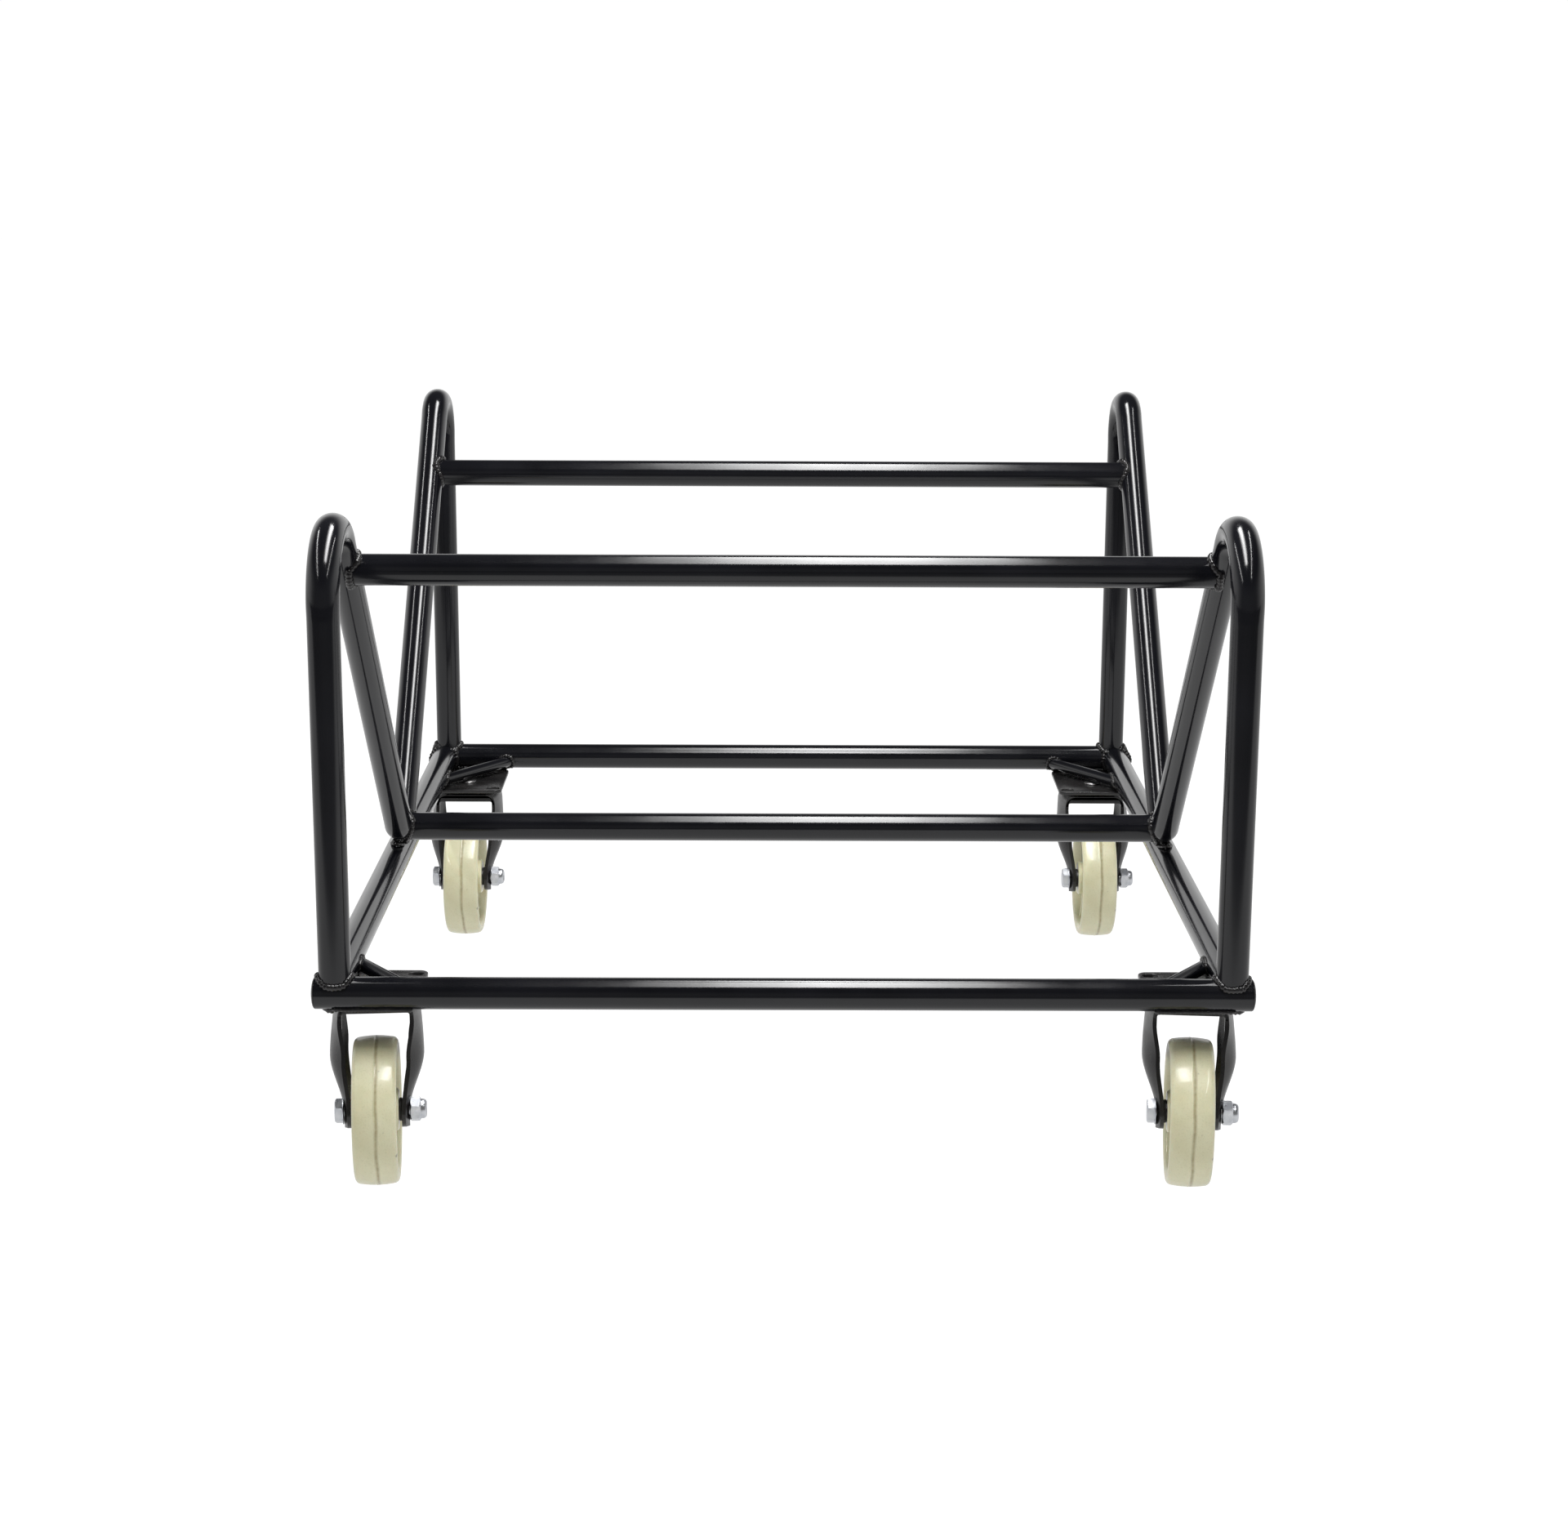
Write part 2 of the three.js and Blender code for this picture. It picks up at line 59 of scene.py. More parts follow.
SADDLE = 0.006  # least that a coped tube stops short of a hoop
CAP_DOME = 0.003
CAP_EDGE = 0.0002
CAP_PLUG = 0.008
CAP_STEP = 8  # degrees
CAP_STEPS = 11
BRACE_RADIUS = 0.006
BRACE_ON_CROSS_TUBE = 0.308  # its end's distance from the middle plane
BRACE_ON_SIDE_RAIL = 0.345  # and from the V plane
BRACE_SUNK = 0.005  # how far its ends run into the tubes
BRACE_SIDES = 32
BRACE_STEPS = 24
BEND_FLATTENING = 0.035  # a bent tube is this share thinner across the bend
BEND_MARK = 0.006  # depth of the die's mark at a bend's ends, as a share
BEND_MARK_LENGTH = 0.004
FOOT_HEIGHT = 0.0088  # lowest edge of a post above the cross tube's line
WELD = 0.0031
FOOT_WELD = 0.0030
SMALL_WELD = 0.0022

# ---- caster sizes ----
PLATE_CORNER = 0.008
PLATE_BEVEL = 0.0007
SLOT_SPACING = (0.060, 0.080)
SLOT_RADIUS = 0.0045
SLOT_LENGTH = 0.014
SHEET = 0.0035  # thickness of the fork's sheet
FORK_HALF = 0.037  # half width at the crown
FORK_BULGE = 0.003  # how far the legs swell past that
FORK_TIP_HALF = 0.0275  # half width at the axle
CROWN_DEPTH = 0.064
CROWN_LIP = 0.0074
CROWN_SAG = 0.005  # how far its edges draw in
LEG_SAG = 0.011  # the same for the legs, halfway down
TIP_SAG = 0.003  # the same at the axle
LEG_PINCH = (0.36, 0.86)  # shares of its height where a leg closes in
SHOULDER = 0.011
LIP_CORNER = 0.002
TIP_RADIUS = 0.015
TIP_FLAT = 0.0012  # least half width of a leg's lowest edge
TIP_STOP = 0.9985  # share of the leg's height at its lowest edge
BELLY_AT = 0.35  # share of its height where the sag is full
STRIP_STEPS = 16  # across the strip
LEG_STEPS = 22
TIP_STEPS = 8
ROUND_STEP = 10  # degrees
SHOULDER_STEPS = 9
LIP_LEG = 0.010  # the lip runs this far down the legs
LIP_BEVEL = 0.0006
PIN_RADIUS = 0.006
PIN_HEAD_RADIUS = 0.010
PIN_HEAD_HEIGHT = 0.005
PIN_HEAD_CHAMFER = 0.0015
RIVET_RADIUS = 0.009
RIVET_DOME = 0.0024
RIVET_LIFT = 0.0004
RIVET_STEP = 9  # degrees
RIVET_STEPS = 10
RACE_PLAY = 0.002
RACE_CHAMFERS = (0.0008, 0.0006)
GROOVE_LEVELS = (0.34, 0.42, 0.55, 0.62)  # shares of the race's height
RACE_DEPTHS = (0.001, 0, 0, 0.0014, 0.0014, 0.0006, 0.0016, 0.0026)  # inwards, at each level
BOLT_RADIUS = 0.006
BOLT_FLATS = 0.019
BOLT_HEAD = 0.0075
NUT_HEIGHT = 0.011
NUT_COLLAR = 0.003
CHAMFER_SLOPE = tan(radians(30))
FACE_SHARE = 0.96
HEXAGON_POINTS = 96
HEXAGON_INSET = 0.0003
WASHER = ((0.0008, 0.0115), (0.0002, 0.0117), (0, 0.0112))  # height, radius
PITCH = 0.00175
THREAD_DEPTH = 0.0006
THREADS = 6
BOLT_TIP = 0.001
NUT_FACE_LOSS = 0.002
COLLAR_SUNK = 0.0022
COLLAR_RADIUS = 0.0084
COLLAR_HEIGHT = 0.004
COLLAR_ROUND = 0.0026
COLLAR_STEPS = 8
BORE_CHAMFER = (0.001, 0.0008)
SLEEVE_BEVEL = 0.0005
SLEEVE_RADIUS = 0.0085
SLEEVE_BORE = 0.0063
SPACER_RADIUS = 0.0099
SPACER_STEP = 0.0094
SPACER_STEP_PLACE = 0.45  # share of its length
SPACER_CHAMFER = 0.0006
SPACER_FINE_CHAMFER = 0.0004
WHEEL_SIDES = 120
WHEEL_HALF = 0.0185
SEAM_HEIGHT = 0.00025
HUB_RADIUS = 0.018
WEB_HALF = 0.006
RECESS_RADIUS = 0.051
BORE_PLAY = 0.00025
HUB_EDGE = 0.001
HUB_ROUND = 0.0015
WEB_FILLET = 0.004
FILLET_STEPS = 5
RIM_FLARE = ((0.0035, 0.0012), (0.0014, 0.0024), (0.0004, 0.0040))  # in from the face, out
TREAD_CORNER = 0.0048
TREAD_TURN = 82  # degrees
TREAD_STEPS = 10
TREAD_DROP = 0.0012
TREAD_CROWN = 0.0011
TREAD_PLACES = (0.85, 0.7, 0.55, 0.4, 0.25, 0.12, 0.05)  # shares of the flat part
SEAM_HALF = 0.0005
SEAM_FOOT = 0.0001
RIBS = 6
RIB_HALF = (0.0022, 0.0015, 0.0010)  # at the foot, the chamfer and the top
RIB_HEIGHT = 0.0075
RIB_CHAMFER = 0.0006
RIB_SUNK = 0.001
RIB_DIP = 0.0015
RIB_STEPS = 4
WHEEL_TURN = 37  # degrees from one wheel to the next
GAP = 0.0003

# ---- places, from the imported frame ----
ENDS = (("front", -1), ("rear", 1))
SIDES = (("left", -1), ("right", 1))
CORNERS = [(f"{end}_{side}", e, s) for end, e in ENDS for side, s in SIDES]


def middle(node):
    low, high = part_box(node)
    return (low + high) / 2


def joint(name):
    return next(j for j in frame["joints"] if j["name"] == name)


def joint_place(name):
    return Vector(joint(name)["pos_m"])


FRONT_TUBE = middle("front_cross_tube")
REAR_TUBE = middle("rear_cross_tube")
BASE_Z = FRONT_TUBE.z
VEE_Y = (FRONT_TUBE.y + REAR_TUBE.y) / 2
HALF_BASE = (REAR_TUBE.y - FRONT_TUBE.y) / 2
TUBES = {-1: FRONT_TUBE, 1: REAR_TUBE}
HOOP_X = middle("right_side_hoop").x
RAIL_X = middle("right_side_rail").x
CROSS_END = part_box("front_cross_tube")[1].x
VEE_Z = BASE_Z + VEE_MEETING + VEE_RADIUS * sqrt(2)
X = Vector((1, 0, 0))
Y = Vector((0, 1, 0))
Z = Vector((0, 0, 1))


# ---- mesh building ----
SHARP = 38  # degrees from which an edge stays sharp
TURNED_SHARP = 30  # on turned parts
BENT_SHARP = 50  # on a fork's bent sheet
BEAD_SHARP = 80
MERGE_DISTANCE = 1e-6
LEAST_EDGE = 1e-7
TURNED_SIDES = 64
EDGE_ROUNDING = 0.0006
ROUNDED_FROM = 40  # degrees


def spread(start, stop, steps):
    """Even values from start to stop."""
    return [start + (stop - start) * i / steps for i in range(steps + 1)]


class Surface:
    """Collects rings of points and the faces between them, and makes one mesh of them."""

    def __init__(self):
        self.points = []
        self.faces = []

    def skin(self, rings, closed=False):
        """Joins each ring to the next. Closed joins the last ring to the first one."""
        first = len(self.points)
        count = len(rings[0])
        for ring in rings:
            self.points.extend(ring)
        for i in range(len(rings) if closed else len(rings) - 1):
            a = first + i * count
            b = first + ((i + 1) % len(rings)) * count
            for k in range(count):
                n = (k + 1) % count
                self.faces.append((a + k, a + n, b + n, b + k))
        if not closed:
            last = first + (len(rings) - 1) * count
            self.faces.append(tuple(range(first, first + count)))
            self.faces.append(tuple(range(last, last + count)))
        return self

    def mesh(self, name, sharp=SHARP):
        mesh = bpy.data.meshes.new(name)
        mesh.from_pydata([tuple(p) for p in self.points], [], self.faces)
        clean(mesh, sharp)
        return mesh


def clean(mesh, sharp):
    """Merges doubled points, turns the faces outwards and smooths all but the sharp edges."""
    work = bmesh.new()
    work.from_mesh(mesh)
    bmesh.ops.remove_doubles(work, verts=work.verts, dist=MERGE_DISTANCE)
    bmesh.ops.dissolve_degenerate(work, edges=work.edges, dist=LEAST_EDGE)
    bmesh.ops.recalc_face_normals(work, faces=work.faces)
    smooth(work, mesh, sharp)


def smooth(work, mesh, sharp):
    work.to_mesh(mesh)
    work.free()
    for polygon in mesh.polygons:
        polygon.use_smooth = True
    mesh.set_sharp_from_angle(angle=radians(sharp))


def in_scene(name, data):
    thing = bpy.data.objects.new(name, data)
    bpy.context.scene.collection.objects.link(thing)
    return thing


def place(name, mesh, material, body="frame", at=(0, 0, 0), turn=0.0):
    """One piece in its place, riding on its body."""
    piece = in_scene(name, mesh)
    piece.location = at
    piece.rotation_euler.z = turn
    if not mesh.materials:
        mesh.materials.append(material)
    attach(piece, body)
    return piece


def skin(node, mesh, *where):
    """The piece that stands for one CAD node."""
    piece = place(f"{node}_skin", mesh, *where)
    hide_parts(node)
    return piece


def soften(piece):
    """Rounds a piece's sharp edges."""
    bevel = piece.modifiers.new("edges", "BEVEL")
    bevel.width = EDGE_ROUNDING
    bevel.segments = 2
    bevel.limit_method = "ANGLE"
    bevel.angle_limit = radians(ROUNDED_FROM)
    bevel.harden_normals = True


def circle(centre, across, up, radius, sides):
    steps = [2 * pi * i / sides for i in range(sides)]
    return [centre + across * (radius * cos(a)) + up * (radius * sin(a)) for a in steps]


def lathe(surface, profile, axis, centre, sides=TURNED_SIDES, closed=False):
    """Turns a profile of (distance along the axis, radius) about the axis."""
    across = Y if axis is X else X
    up = axis.cross(across)
    rings = [circle(centre + axis * along, across, up, radius, sides) for along, radius in profile]
    return surface.skin(rings, closed=closed)


def turned(name, profile, axis, centre, closed=True):
    return lathe(Surface(), profile, axis, centre, closed=closed).mesh(name, TURNED_SHARP)


def arc(centre, radius, start, stop, steps):
    """Points of (first, second) coordinate on an arc, angles in degrees."""
    angles = [radians(a) for a in spread(start, stop, steps)]
    return [(centre[0] + radius * cos(a), centre[1] + radius * sin(a)) for a in angles]


def smoothstep(value, low, high):
    t = min(1.0, max(0.0, (value - low) / (high - low)))
    return t * t * (3 - 2 * t)


def blend(a, b, t):
    return a + (b - a) * t


# ---- procedural materials ----
EVEN = (0.3, 0.7)  # the part of a noise's range that tones follow
PLAIN_SHINE = 0.5


def node_sum(tree, kind, first, second):
    node = tree.nodes.new("ShaderNodeMath")
    node.operation = kind
    for socket, value in zip(node.inputs, (first, second)):
        if isinstance(value, (int, float)):
            socket.default_value = value
        else:
            tree.links.new(value, socket)
    return node.outputs["Value"]


class Finish:
    """A Principled material with the few node patterns that this object's finishes share."""

    def __init__(self, name):
        self.material = bpy.data.materials.new(name)
        self.material.use_nodes = True
        self.nodes = self.material.node_tree.nodes
        self.links = self.material.node_tree.links
        self.shader = self.nodes["Principled BSDF"]
        self.place = self.nodes.new("ShaderNodeTexCoord").outputs["Object"]
        self.height = None

    def set(self, **values):
        for name, value in values.items():
            self.shader.inputs[name.replace("_", " ")].default_value = value
        return self

    def noise(self, scale, detail=4.0, rough=0.5, stretch=None):
        place = self.place
        if stretch:
            turn = self.nodes.new("ShaderNodeMapping")
            turn.inputs["Scale"].default_value = stretch
            self.links.new(place, turn.inputs["Vector"])
            place = turn.outputs["Vector"]
        texture = self.nodes.new("ShaderNodeTexNoise")
        texture.inputs["Scale"].default_value = scale
        texture.inputs["Detail"].default_value = detail
        texture.inputs["Roughness"].default_value = rough
        self.links.new(place, texture.inputs["Vector"])
        return texture.outputs["Fac"]

    def ramp(self, factor, band, first, last):
        """Goes from the first colour or value to the last one across the band."""
        ramp = self.nodes.new("ShaderNodeValToRGB")
        for stop, where, tone in zip(ramp.color_ramp.elements, band, (first, last)):
            stop.position = where
            stop.color = (*tone, 1) if isinstance(tone, tuple) else (tone, tone, tone, 1)
        self.links.new(factor, ramp.inputs["Fac"])
        return ramp.outputs["Color"]

    def maths(self, kind, first, second):
        return node_sum(self.material.node_tree, kind, first, second)

    def mix(self, factor, first, second):
        node = self.nodes.new("ShaderNodeMix")
        node.data_type = "RGBA"
        self.links.new(factor, node.inputs["Factor"])
        for socket, value in ((node.inputs["A"], first), (node.inputs["B"], second)):
            if isinstance(value, tuple):
                socket.default_value = (*value, 1)
            else:
                self.links.new(value, socket)
        return node.outputs["Result"]

    def feed(self, name, output):
        self.links.new(output, self.shader.inputs[name])

    def bump(self, height, distance):
        """Adds one layer of relief, in metres, on the layers so far."""
        node = self.nodes.new("ShaderNodeBump")
        node.inputs["Distance"].default_value = distance
        self.links.new(height, node.inputs["Height"])
        if self.height is not None:
            self.links.new(self.height, node.inputs["Normal"])
        self.height = node.outputs["Normal"]
        self.links.new(self.height, self.shader.inputs["Normal"])


def coat(name, tones, clouds, gloss, patches, relief, grain, film=None, band=EVEN, **settings):
    """Cloudy tone, perhaps under a patchy film, with uneven gloss and one layer of relief.

    Clouds, patches, grain and the film's spots are noises: scale, detail, roughness, stretch.
    """
    finish = Finish(name).set(**settings)
    tone = finish.ramp(finish.noise(*clouds), band, *tones)
    if film:
        cover = finish.ramp(finish.noise(*film["spots"]), film["band"], 0, film["most"])
        tone = finish.mix(cover, tone, film["colour"])
    finish.feed("Base Color", tone)
    finish.feed("Roughness", finish.ramp(finish.noise(*patches), EVEN, *gloss))
    finish.bump(finish.noise(*grain), relief)
    return finish.material


# Glossy powder coat: faint orange peel, uneven gloss and a little settled dust.
DUST = {"spots": (160, 8, 0.65), "band": (0.66, 0.80), "most": 0.14, "colour": (0.05, 0.048, 0.045)}
PAINT = coat(
    "black_paint", Specular_IOR_Level=PLAIN_SHINE, film=DUST, band=(0.35, 0.65),
    tones=((0.0030, 0.0032, 0.0046), (0.0054, 0.0056, 0.0078)), clouds=(14,),
    gloss=(0.12, 0.16), patches=(30, 6), relief=0.000008, grain=(150, 2))

# The same coat on the pressed caster parts, thinner, rubbed and a little dusty.
RUBBED = {"spots": (60, 8, 0.7, (6, 1, 1)), "band": (0.58, 0.76), "most": 0.55,
          "colour": (0.06, 0.055, 0.05)}
SCUFFED = coat(
    "scuffed_paint", Specular_IOR_Level=PLAIN_SHINE, film=RUBBED,
    tones=((0.010, 0.0095, 0.010), (0.020, 0.019, 0.019)), clouds=(30,),
    gloss=(0.20, 0.36), patches=(45, 6), relief=0.00006, grain=(350, 3))

# The coat over the weld beads, thick and very glossy on the ripples.
WELD_PAINT = coat(
    "weld_paint", Specular_IOR_Level=PLAIN_SHINE,
    tones=((0.006, 0.0055, 0.006), (0.013, 0.012, 0.012)), clouds=(120,),
    gloss=(0.10, 0.20), patches=(200,), relief=0.00015, grain=(700, 3))

# Bright zinc on the nuts and bolts.
ZINC = coat(
    "zinc_plate", Metallic=1.0,
    tones=((0.50, 0.52, 0.56), (0.66, 0.67, 0.69)), clouds=(150,),
    gloss=(0.26, 0.40), patches=(260, 5), relief=0.00004, grain=(600, 4))

# Plain turned steel of the kingpins and axle sleeves.
STEEL = coat(
    "grey_steel", Metallic=1.0,
    tones=((0.26, 0.26, 0.27), (0.38, 0.37, 0.36)), clouds=(90,),
    gloss=(0.28, 0.45), patches=(200, 5), relief=0.00005, grain=(900, 2, 0.5, (4, 1, 1)))

# Matt moulded plastic of the hub spacers.
PLASTIC = coat(
    "black_plastic",
    tones=((0.009, 0.009, 0.010), (0.018, 0.017, 0.017)), clouds=(80,),
    gloss=(0.42, 0.60), patches=(300,), relief=0.00006, grain=(1200, 2))

SEAM_WANDER = 0.0030  # strays this far from the middle
SEAM_REACH = 0.0040  # the stain's full reach to each side
SPECK_BROWN = (0.45, 0.43, 0.24)
SEAM_BROWN = (0.26, 0.21, 0.095)
BLEMISH_BROWN = (0.05, 0.04, 0.02)


def ivory_nylon():
    """Cast nylon: cloudy, faintly speckled, with a brown mould seam round the middle."""
    nylon = Finish("ivory_nylon").set(
        Specular_IOR_Level=PLAIN_SHINE, Subsurface_Weight=0.12, Subsurface_Scale=0.004,
        Coat_Weight=0.35, Coat_Roughness=0.05)
    cloudy = nylon.ramp(nylon.noise(38, 3), EVEN, (0.60, 0.572, 0.365), (0.695, 0.675, 0.47))
    specks = nylon.ramp(nylon.noise(700, 3, 0.6), (0.52, 0.72), 0, 0.35)
    speckled = nylon.mix(specks, cloudy, SPECK_BROWN)
    axis = nylon.nodes.new("ShaderNodeSeparateXYZ")
    nylon.links.new(nylon.place, axis.inputs["Vector"])
    wander = nylon.maths("MULTIPLY", nylon.noise(30, 2), SEAM_WANDER)
    off_seam = nylon.maths("ABSOLUTE", nylon.maths("SUBTRACT", axis.outputs["X"], wander), 0)
    near = nylon.maths("DIVIDE", off_seam, SEAM_REACH)
    line = nylon.ramp(near, (0.06, 0.52), 0.80, 0)
    gaps = nylon.ramp(nylon.noise(240, 4), (0.3, 0.6), 0.7, 1)
    seamed = nylon.mix(nylon.maths("MULTIPLY", line, gaps), speckled, SEAM_BROWN)
    blemishes = nylon.ramp(nylon.noise(120, 1), (0.78, 0.81), 0, 0.5)
    nylon.feed("Base Color", nylon.mix(blemishes, seamed, BLEMISH_BROWN))
    nylon.feed("Roughness", nylon.ramp(nylon.noise(90, 4), EVEN, 0.30, 0.42))
    nylon.bump(nylon.noise(150, 3), 0.00006)
    return nylon.material


NYLON = ivory_nylon()


# ---- the side hoops' centre line ----
LEG_FOOT = (VEE_RADIUS / sqrt(2), VEE_Z - VEE_RADIUS / sqrt(2))
LOOP_TURN = radians(135)
HALF_VEE_TURN = radians(45)
RING_STEP = 0.0022
EDGE_STEP = 0.001  # between rings at a bend's ends
EDGE_RINGS = 12  # on each side
STRAIGHT_STEPS = 8
LENGTH_PLACES = 7  # decimal places
LINE_STEP = 0.001
OVAL_REACH = 0.008  # it goes from round to oval over this much


class HalfHoop:
    """Half of a hoop: a post, a loop, a 45 degree leg and half of the V bend."""

    def __init__(self, bend):
        self.bend = bend
        self.loop_out = HALF_BASE - bend
        self.loop_z = BASE_Z + HALF_BASE + VEE_MEETING - bend * (1 + sqrt(2))
        self.leg_top = (self.loop_out - bend / sqrt(2), self.loop_z + bend / sqrt(2))
        self.leg_length = hypot(self.leg_top[0] - LEG_FOOT[0], self.leg_top[1] - LEG_FOOT[1])
        self.loop_start = self.loop_z - BASE_Z
        self.leg_start = self.loop_start + bend * LOOP_TURN
        self.vee_start = self.leg_start + self.leg_length
        self.length = self.vee_start + VEE_RADIUS * HALF_VEE_TURN
        self.edges = (self.loop_start, self.leg_start, self.vee_start)

    def point(self, length):
        """Distance out from the V plane, height and direction at a length up from the foot."""
        if length <= self.loop_start:
            return HALF_BASE, BASE_Z + length, (0.0, 1.0)
        if length <= self.leg_start:
            a = (length - self.loop_start) / self.bend
            out, z = self.loop_out + self.bend * cos(a), self.loop_z + self.bend * sin(a)
            return out, z, (-sin(a), cos(a))
        if length <= self.vee_start:
            t = (length - self.leg_start) / self.leg_length
            out, z = (blend(top, foot, t) for top, foot in zip(self.leg_top, LEG_FOOT))
            return out, z, (-sqrt(0.5), -sqrt(0.5))
        a = -HALF_VEE_TURN - (length - self.vee_start) / VEE_RADIUS
        return VEE_RADIUS * cos(a), VEE_Z + VEE_RADIUS * sin(a), (sin(a), -cos(a))

    def lengths(self):
        """Where the tube has a ring: close together in the bends and at their ends."""
        found = {0.0, self.length}
        for start, stop in ((self.loop_start, self.leg_start), (self.vee_start, self.length)):
            found.update(spread(start, stop, ceil((stop - start) / RING_STEP)))
        for edge in self.edges:
            found.update(edge + EDGE_STEP * i for i in range(-EDGE_RINGS, EDGE_RINGS + 1))
        for start, stop in ((0.0, self.loop_start), (self.leg_start, self.vee_start)):
            found.update(spread(start, stop, STRAIGHT_STEPS))
        return sorted({round(v, LENGTH_PLACES) for v in found if v <= self.length})

    def radii(self, length, radius):
        """Radius along X and across the bend: bent tube is oval, with faint marks of the die."""
        edges = [smoothstep(length, e - OVAL_REACH, e + OVAL_REACH) for e in self.edges]
        bent = edges[0] - edges[1] + edges[2]
        marks = sum(exp(-(((length - e) / BEND_MARK_LENGTH) ** 2)) for e in self.edges)
        across = radius * (1 - BEND_FLATTENING * bent - BEND_MARK * marks)
        return radius * (1 + BEND_FLATTENING * bent / 2), across

    def station(self, length, e):
        """Centre and direction at a length, walking along the hoop from the front to the rear."""
        out, z, (t_out, t_z) = self.point(length)
        return Vector((0, VEE_Y + e * out, z)), Vector((0, -t_out, -e * t_z))


FRONT_HALF = HalfHoop(FRONT_LOOP_RADIUS)
REAR_HALF = HalfHoop(REAR_LOOP_RADIUS)


def hoop_rings(x, radius):
    walk = [(FRONT_HALF, -1, length) for length in FRONT_HALF.lengths()]
    walk += [(REAR_HALF, 1, length) for length in REAR_HALF.lengths()[-2::-1]]
    turns = [2 * pi * i / TUBE_SIDES for i in range(TUBE_SIDES)]
    rings = []
    for half, e, length in walk:
        centre, along = half.station(length, e)
        centre.x = x
        side = along.cross(X)
        wide, across = half.radii(length, radius)
        rings.append([centre + X * (wide * cos(a)) + side * (across * sin(a)) for a in turns])
    for ring, tube in ((rings[0], FRONT_TUBE), (rings[-1], REAR_TUBE)):
        for point in ring:
            point.z = tube.z + foot_height(point.y - tube.y, TUBE_RADIUS)
    return rings


def foot_height(off_centre, radius):
    """Height of a post's lower end above the cross tube's centre line."""
    return max(FOOT_HEIGHT, sqrt(max(0, radius**2 - off_centre**2)))


HOOP_LINE = [half.station(LINE_STEP * i, e)[0]
             for half, e in ((FRONT_HALF, -1), (REAR_HALF, 1))
             for i in range(int(half.length / LINE_STEP) + 1)]


def hoop_distance(y, z):
    return min(hypot(p.y - y, p.z - z) for p in HOOP_LINE)


# ---- straight tubes ----
def straight_tube(node, ends, reach):
    """Reach says how far a point of the tube's rim stops short of the tube's end."""
    start, stop = ends
    along = (stop - start).normalized()
    side = along.cross(Z).normalized()
    rings = []
    for radius in (TUBE_RADIUS, TUBE_RADIUS - TUBE_WALL):
        first = circle(start, side, Z, radius, TUBE_SIDES)
        last = circle(stop, side, Z, radius, TUBE_SIDES)
        rings.append(([p + along * reach(p) for p in first], [p - along * reach(p) for p in last]))
    outer, inner = rings
    surface = Surface().skin([outer[0], outer[1], inner[1], inner[0]], closed=True)
    skin(node, surface.mesh(f"{node}_skin"), PAINT)


def cross_ends(x, middle_place):
    """The two ends of a tube that lies along X."""
    return [Vector((s * x, middle_place.y, middle_place.z)) for s in (-1, 1)]


def square_end(_):
    return 0.0


def on_cross_tube(point):
    """Cope of a side rail on the round of a cross tube."""
    return sqrt(max(0, TUBE_RADIUS**2 - (point.z - BASE_Z) ** 2))


def on_hoop(point):
    """Cope of a cross rail on the round of a side hoop."""
    return max(SADDLE, sqrt(max(0, TUBE_RADIUS**2 - hoop_distance(point.y, point.z) ** 2)))


def build_tubes():
    for end, tube in (("front", FRONT_TUBE), ("rear", REAR_TUBE)):
        straight_tube(f"{end}_cross_tube", cross_ends(CROSS_END, tube), square_end)
        rail = f"{end}_top_rail"
        straight_tube(rail, cross_ends(HOOP_X, middle(rail)), on_hoop)
    bar = "middle_cross_tube"
    straight_tube(bar, cross_ends(HOOP_X, middle(bar)), on_hoop)
    for side, s in SIDES:
        ends = [Vector((s * RAIL_X, y, BASE_Z)) for y in (FRONT_TUBE.y, REAR_TUBE.y)]
        straight_tube(f"{side}_side_rail", ends, on_cross_tube)


def build_hoops():
    for side, s in SIDES:
        outer = hoop_rings(s * HOOP_X, TUBE_RADIUS)
        inner = hoop_rings(s * HOOP_X, TUBE_RADIUS - TUBE_WALL)
        surface = Surface().skin(outer + inner[::-1], closed=True)
        node = f"{side}_side_hoop"
        skin(node, surface.mesh(f"{node}_skin"), PAINT)


def build_end_caps():
    rim = TUBE_RADIUS - CAP_EDGE
    plug = TUBE_RADIUS - TUBE_WALL - GAP
    profile = [(-CAP_PLUG, 0), (-CAP_PLUG, plug), (GAP, plug), (GAP, rim)]
    dome = [radians(CAP_STEP * i) for i in range(1, CAP_STEPS)]
    profile += [(GAP + CAP_DOME * sin(a), rim * cos(a)) for a in dome] + [(GAP + CAP_DOME, 0)]
    for name, e, s in CORNERS:
        tube = TUBES[e]
        handed = [(s * along, radius) for along, radius in profile]
        surface = lathe(Surface(), handed, X, Vector((s * CROSS_END, tube.y, tube.z)))
        node = f"{name}_end_cap"
        skin(node, surface.mesh(f"{node}_skin"), WELD_PAINT)


def brace_line(name, e, s):
    """The brace's ends, where its centre line meets the tubes' inner faces."""
    z = middle(f"{name}_corner_brace").z
    first = Vector((s * BRACE_ON_CROSS_TUBE, VEE_Y + e * (HALF_BASE - TUBE_RADIUS), z))
    last = Vector((s * (RAIL_X - TUBE_RADIUS), VEE_Y + e * BRACE_ON_SIDE_RAIL, z))
    return first, last


def build_braces():
    for name, e, s in CORNERS:
        first, last = brace_line(name, e, s)
        along = (last - first).normalized()
        side = along.cross(Z)
        stations = spread(-BRACE_SUNK, (last - first).length + BRACE_SUNK, BRACE_STEPS)
        rings = [circle(first + along * d, side, Z, BRACE_RADIUS, BRACE_SIDES)
                 for d in stations]
        node = f"{name}_corner_brace"
        skin(node, Surface().skin(rings).mesh(f"{node}_skin"), PAINT)


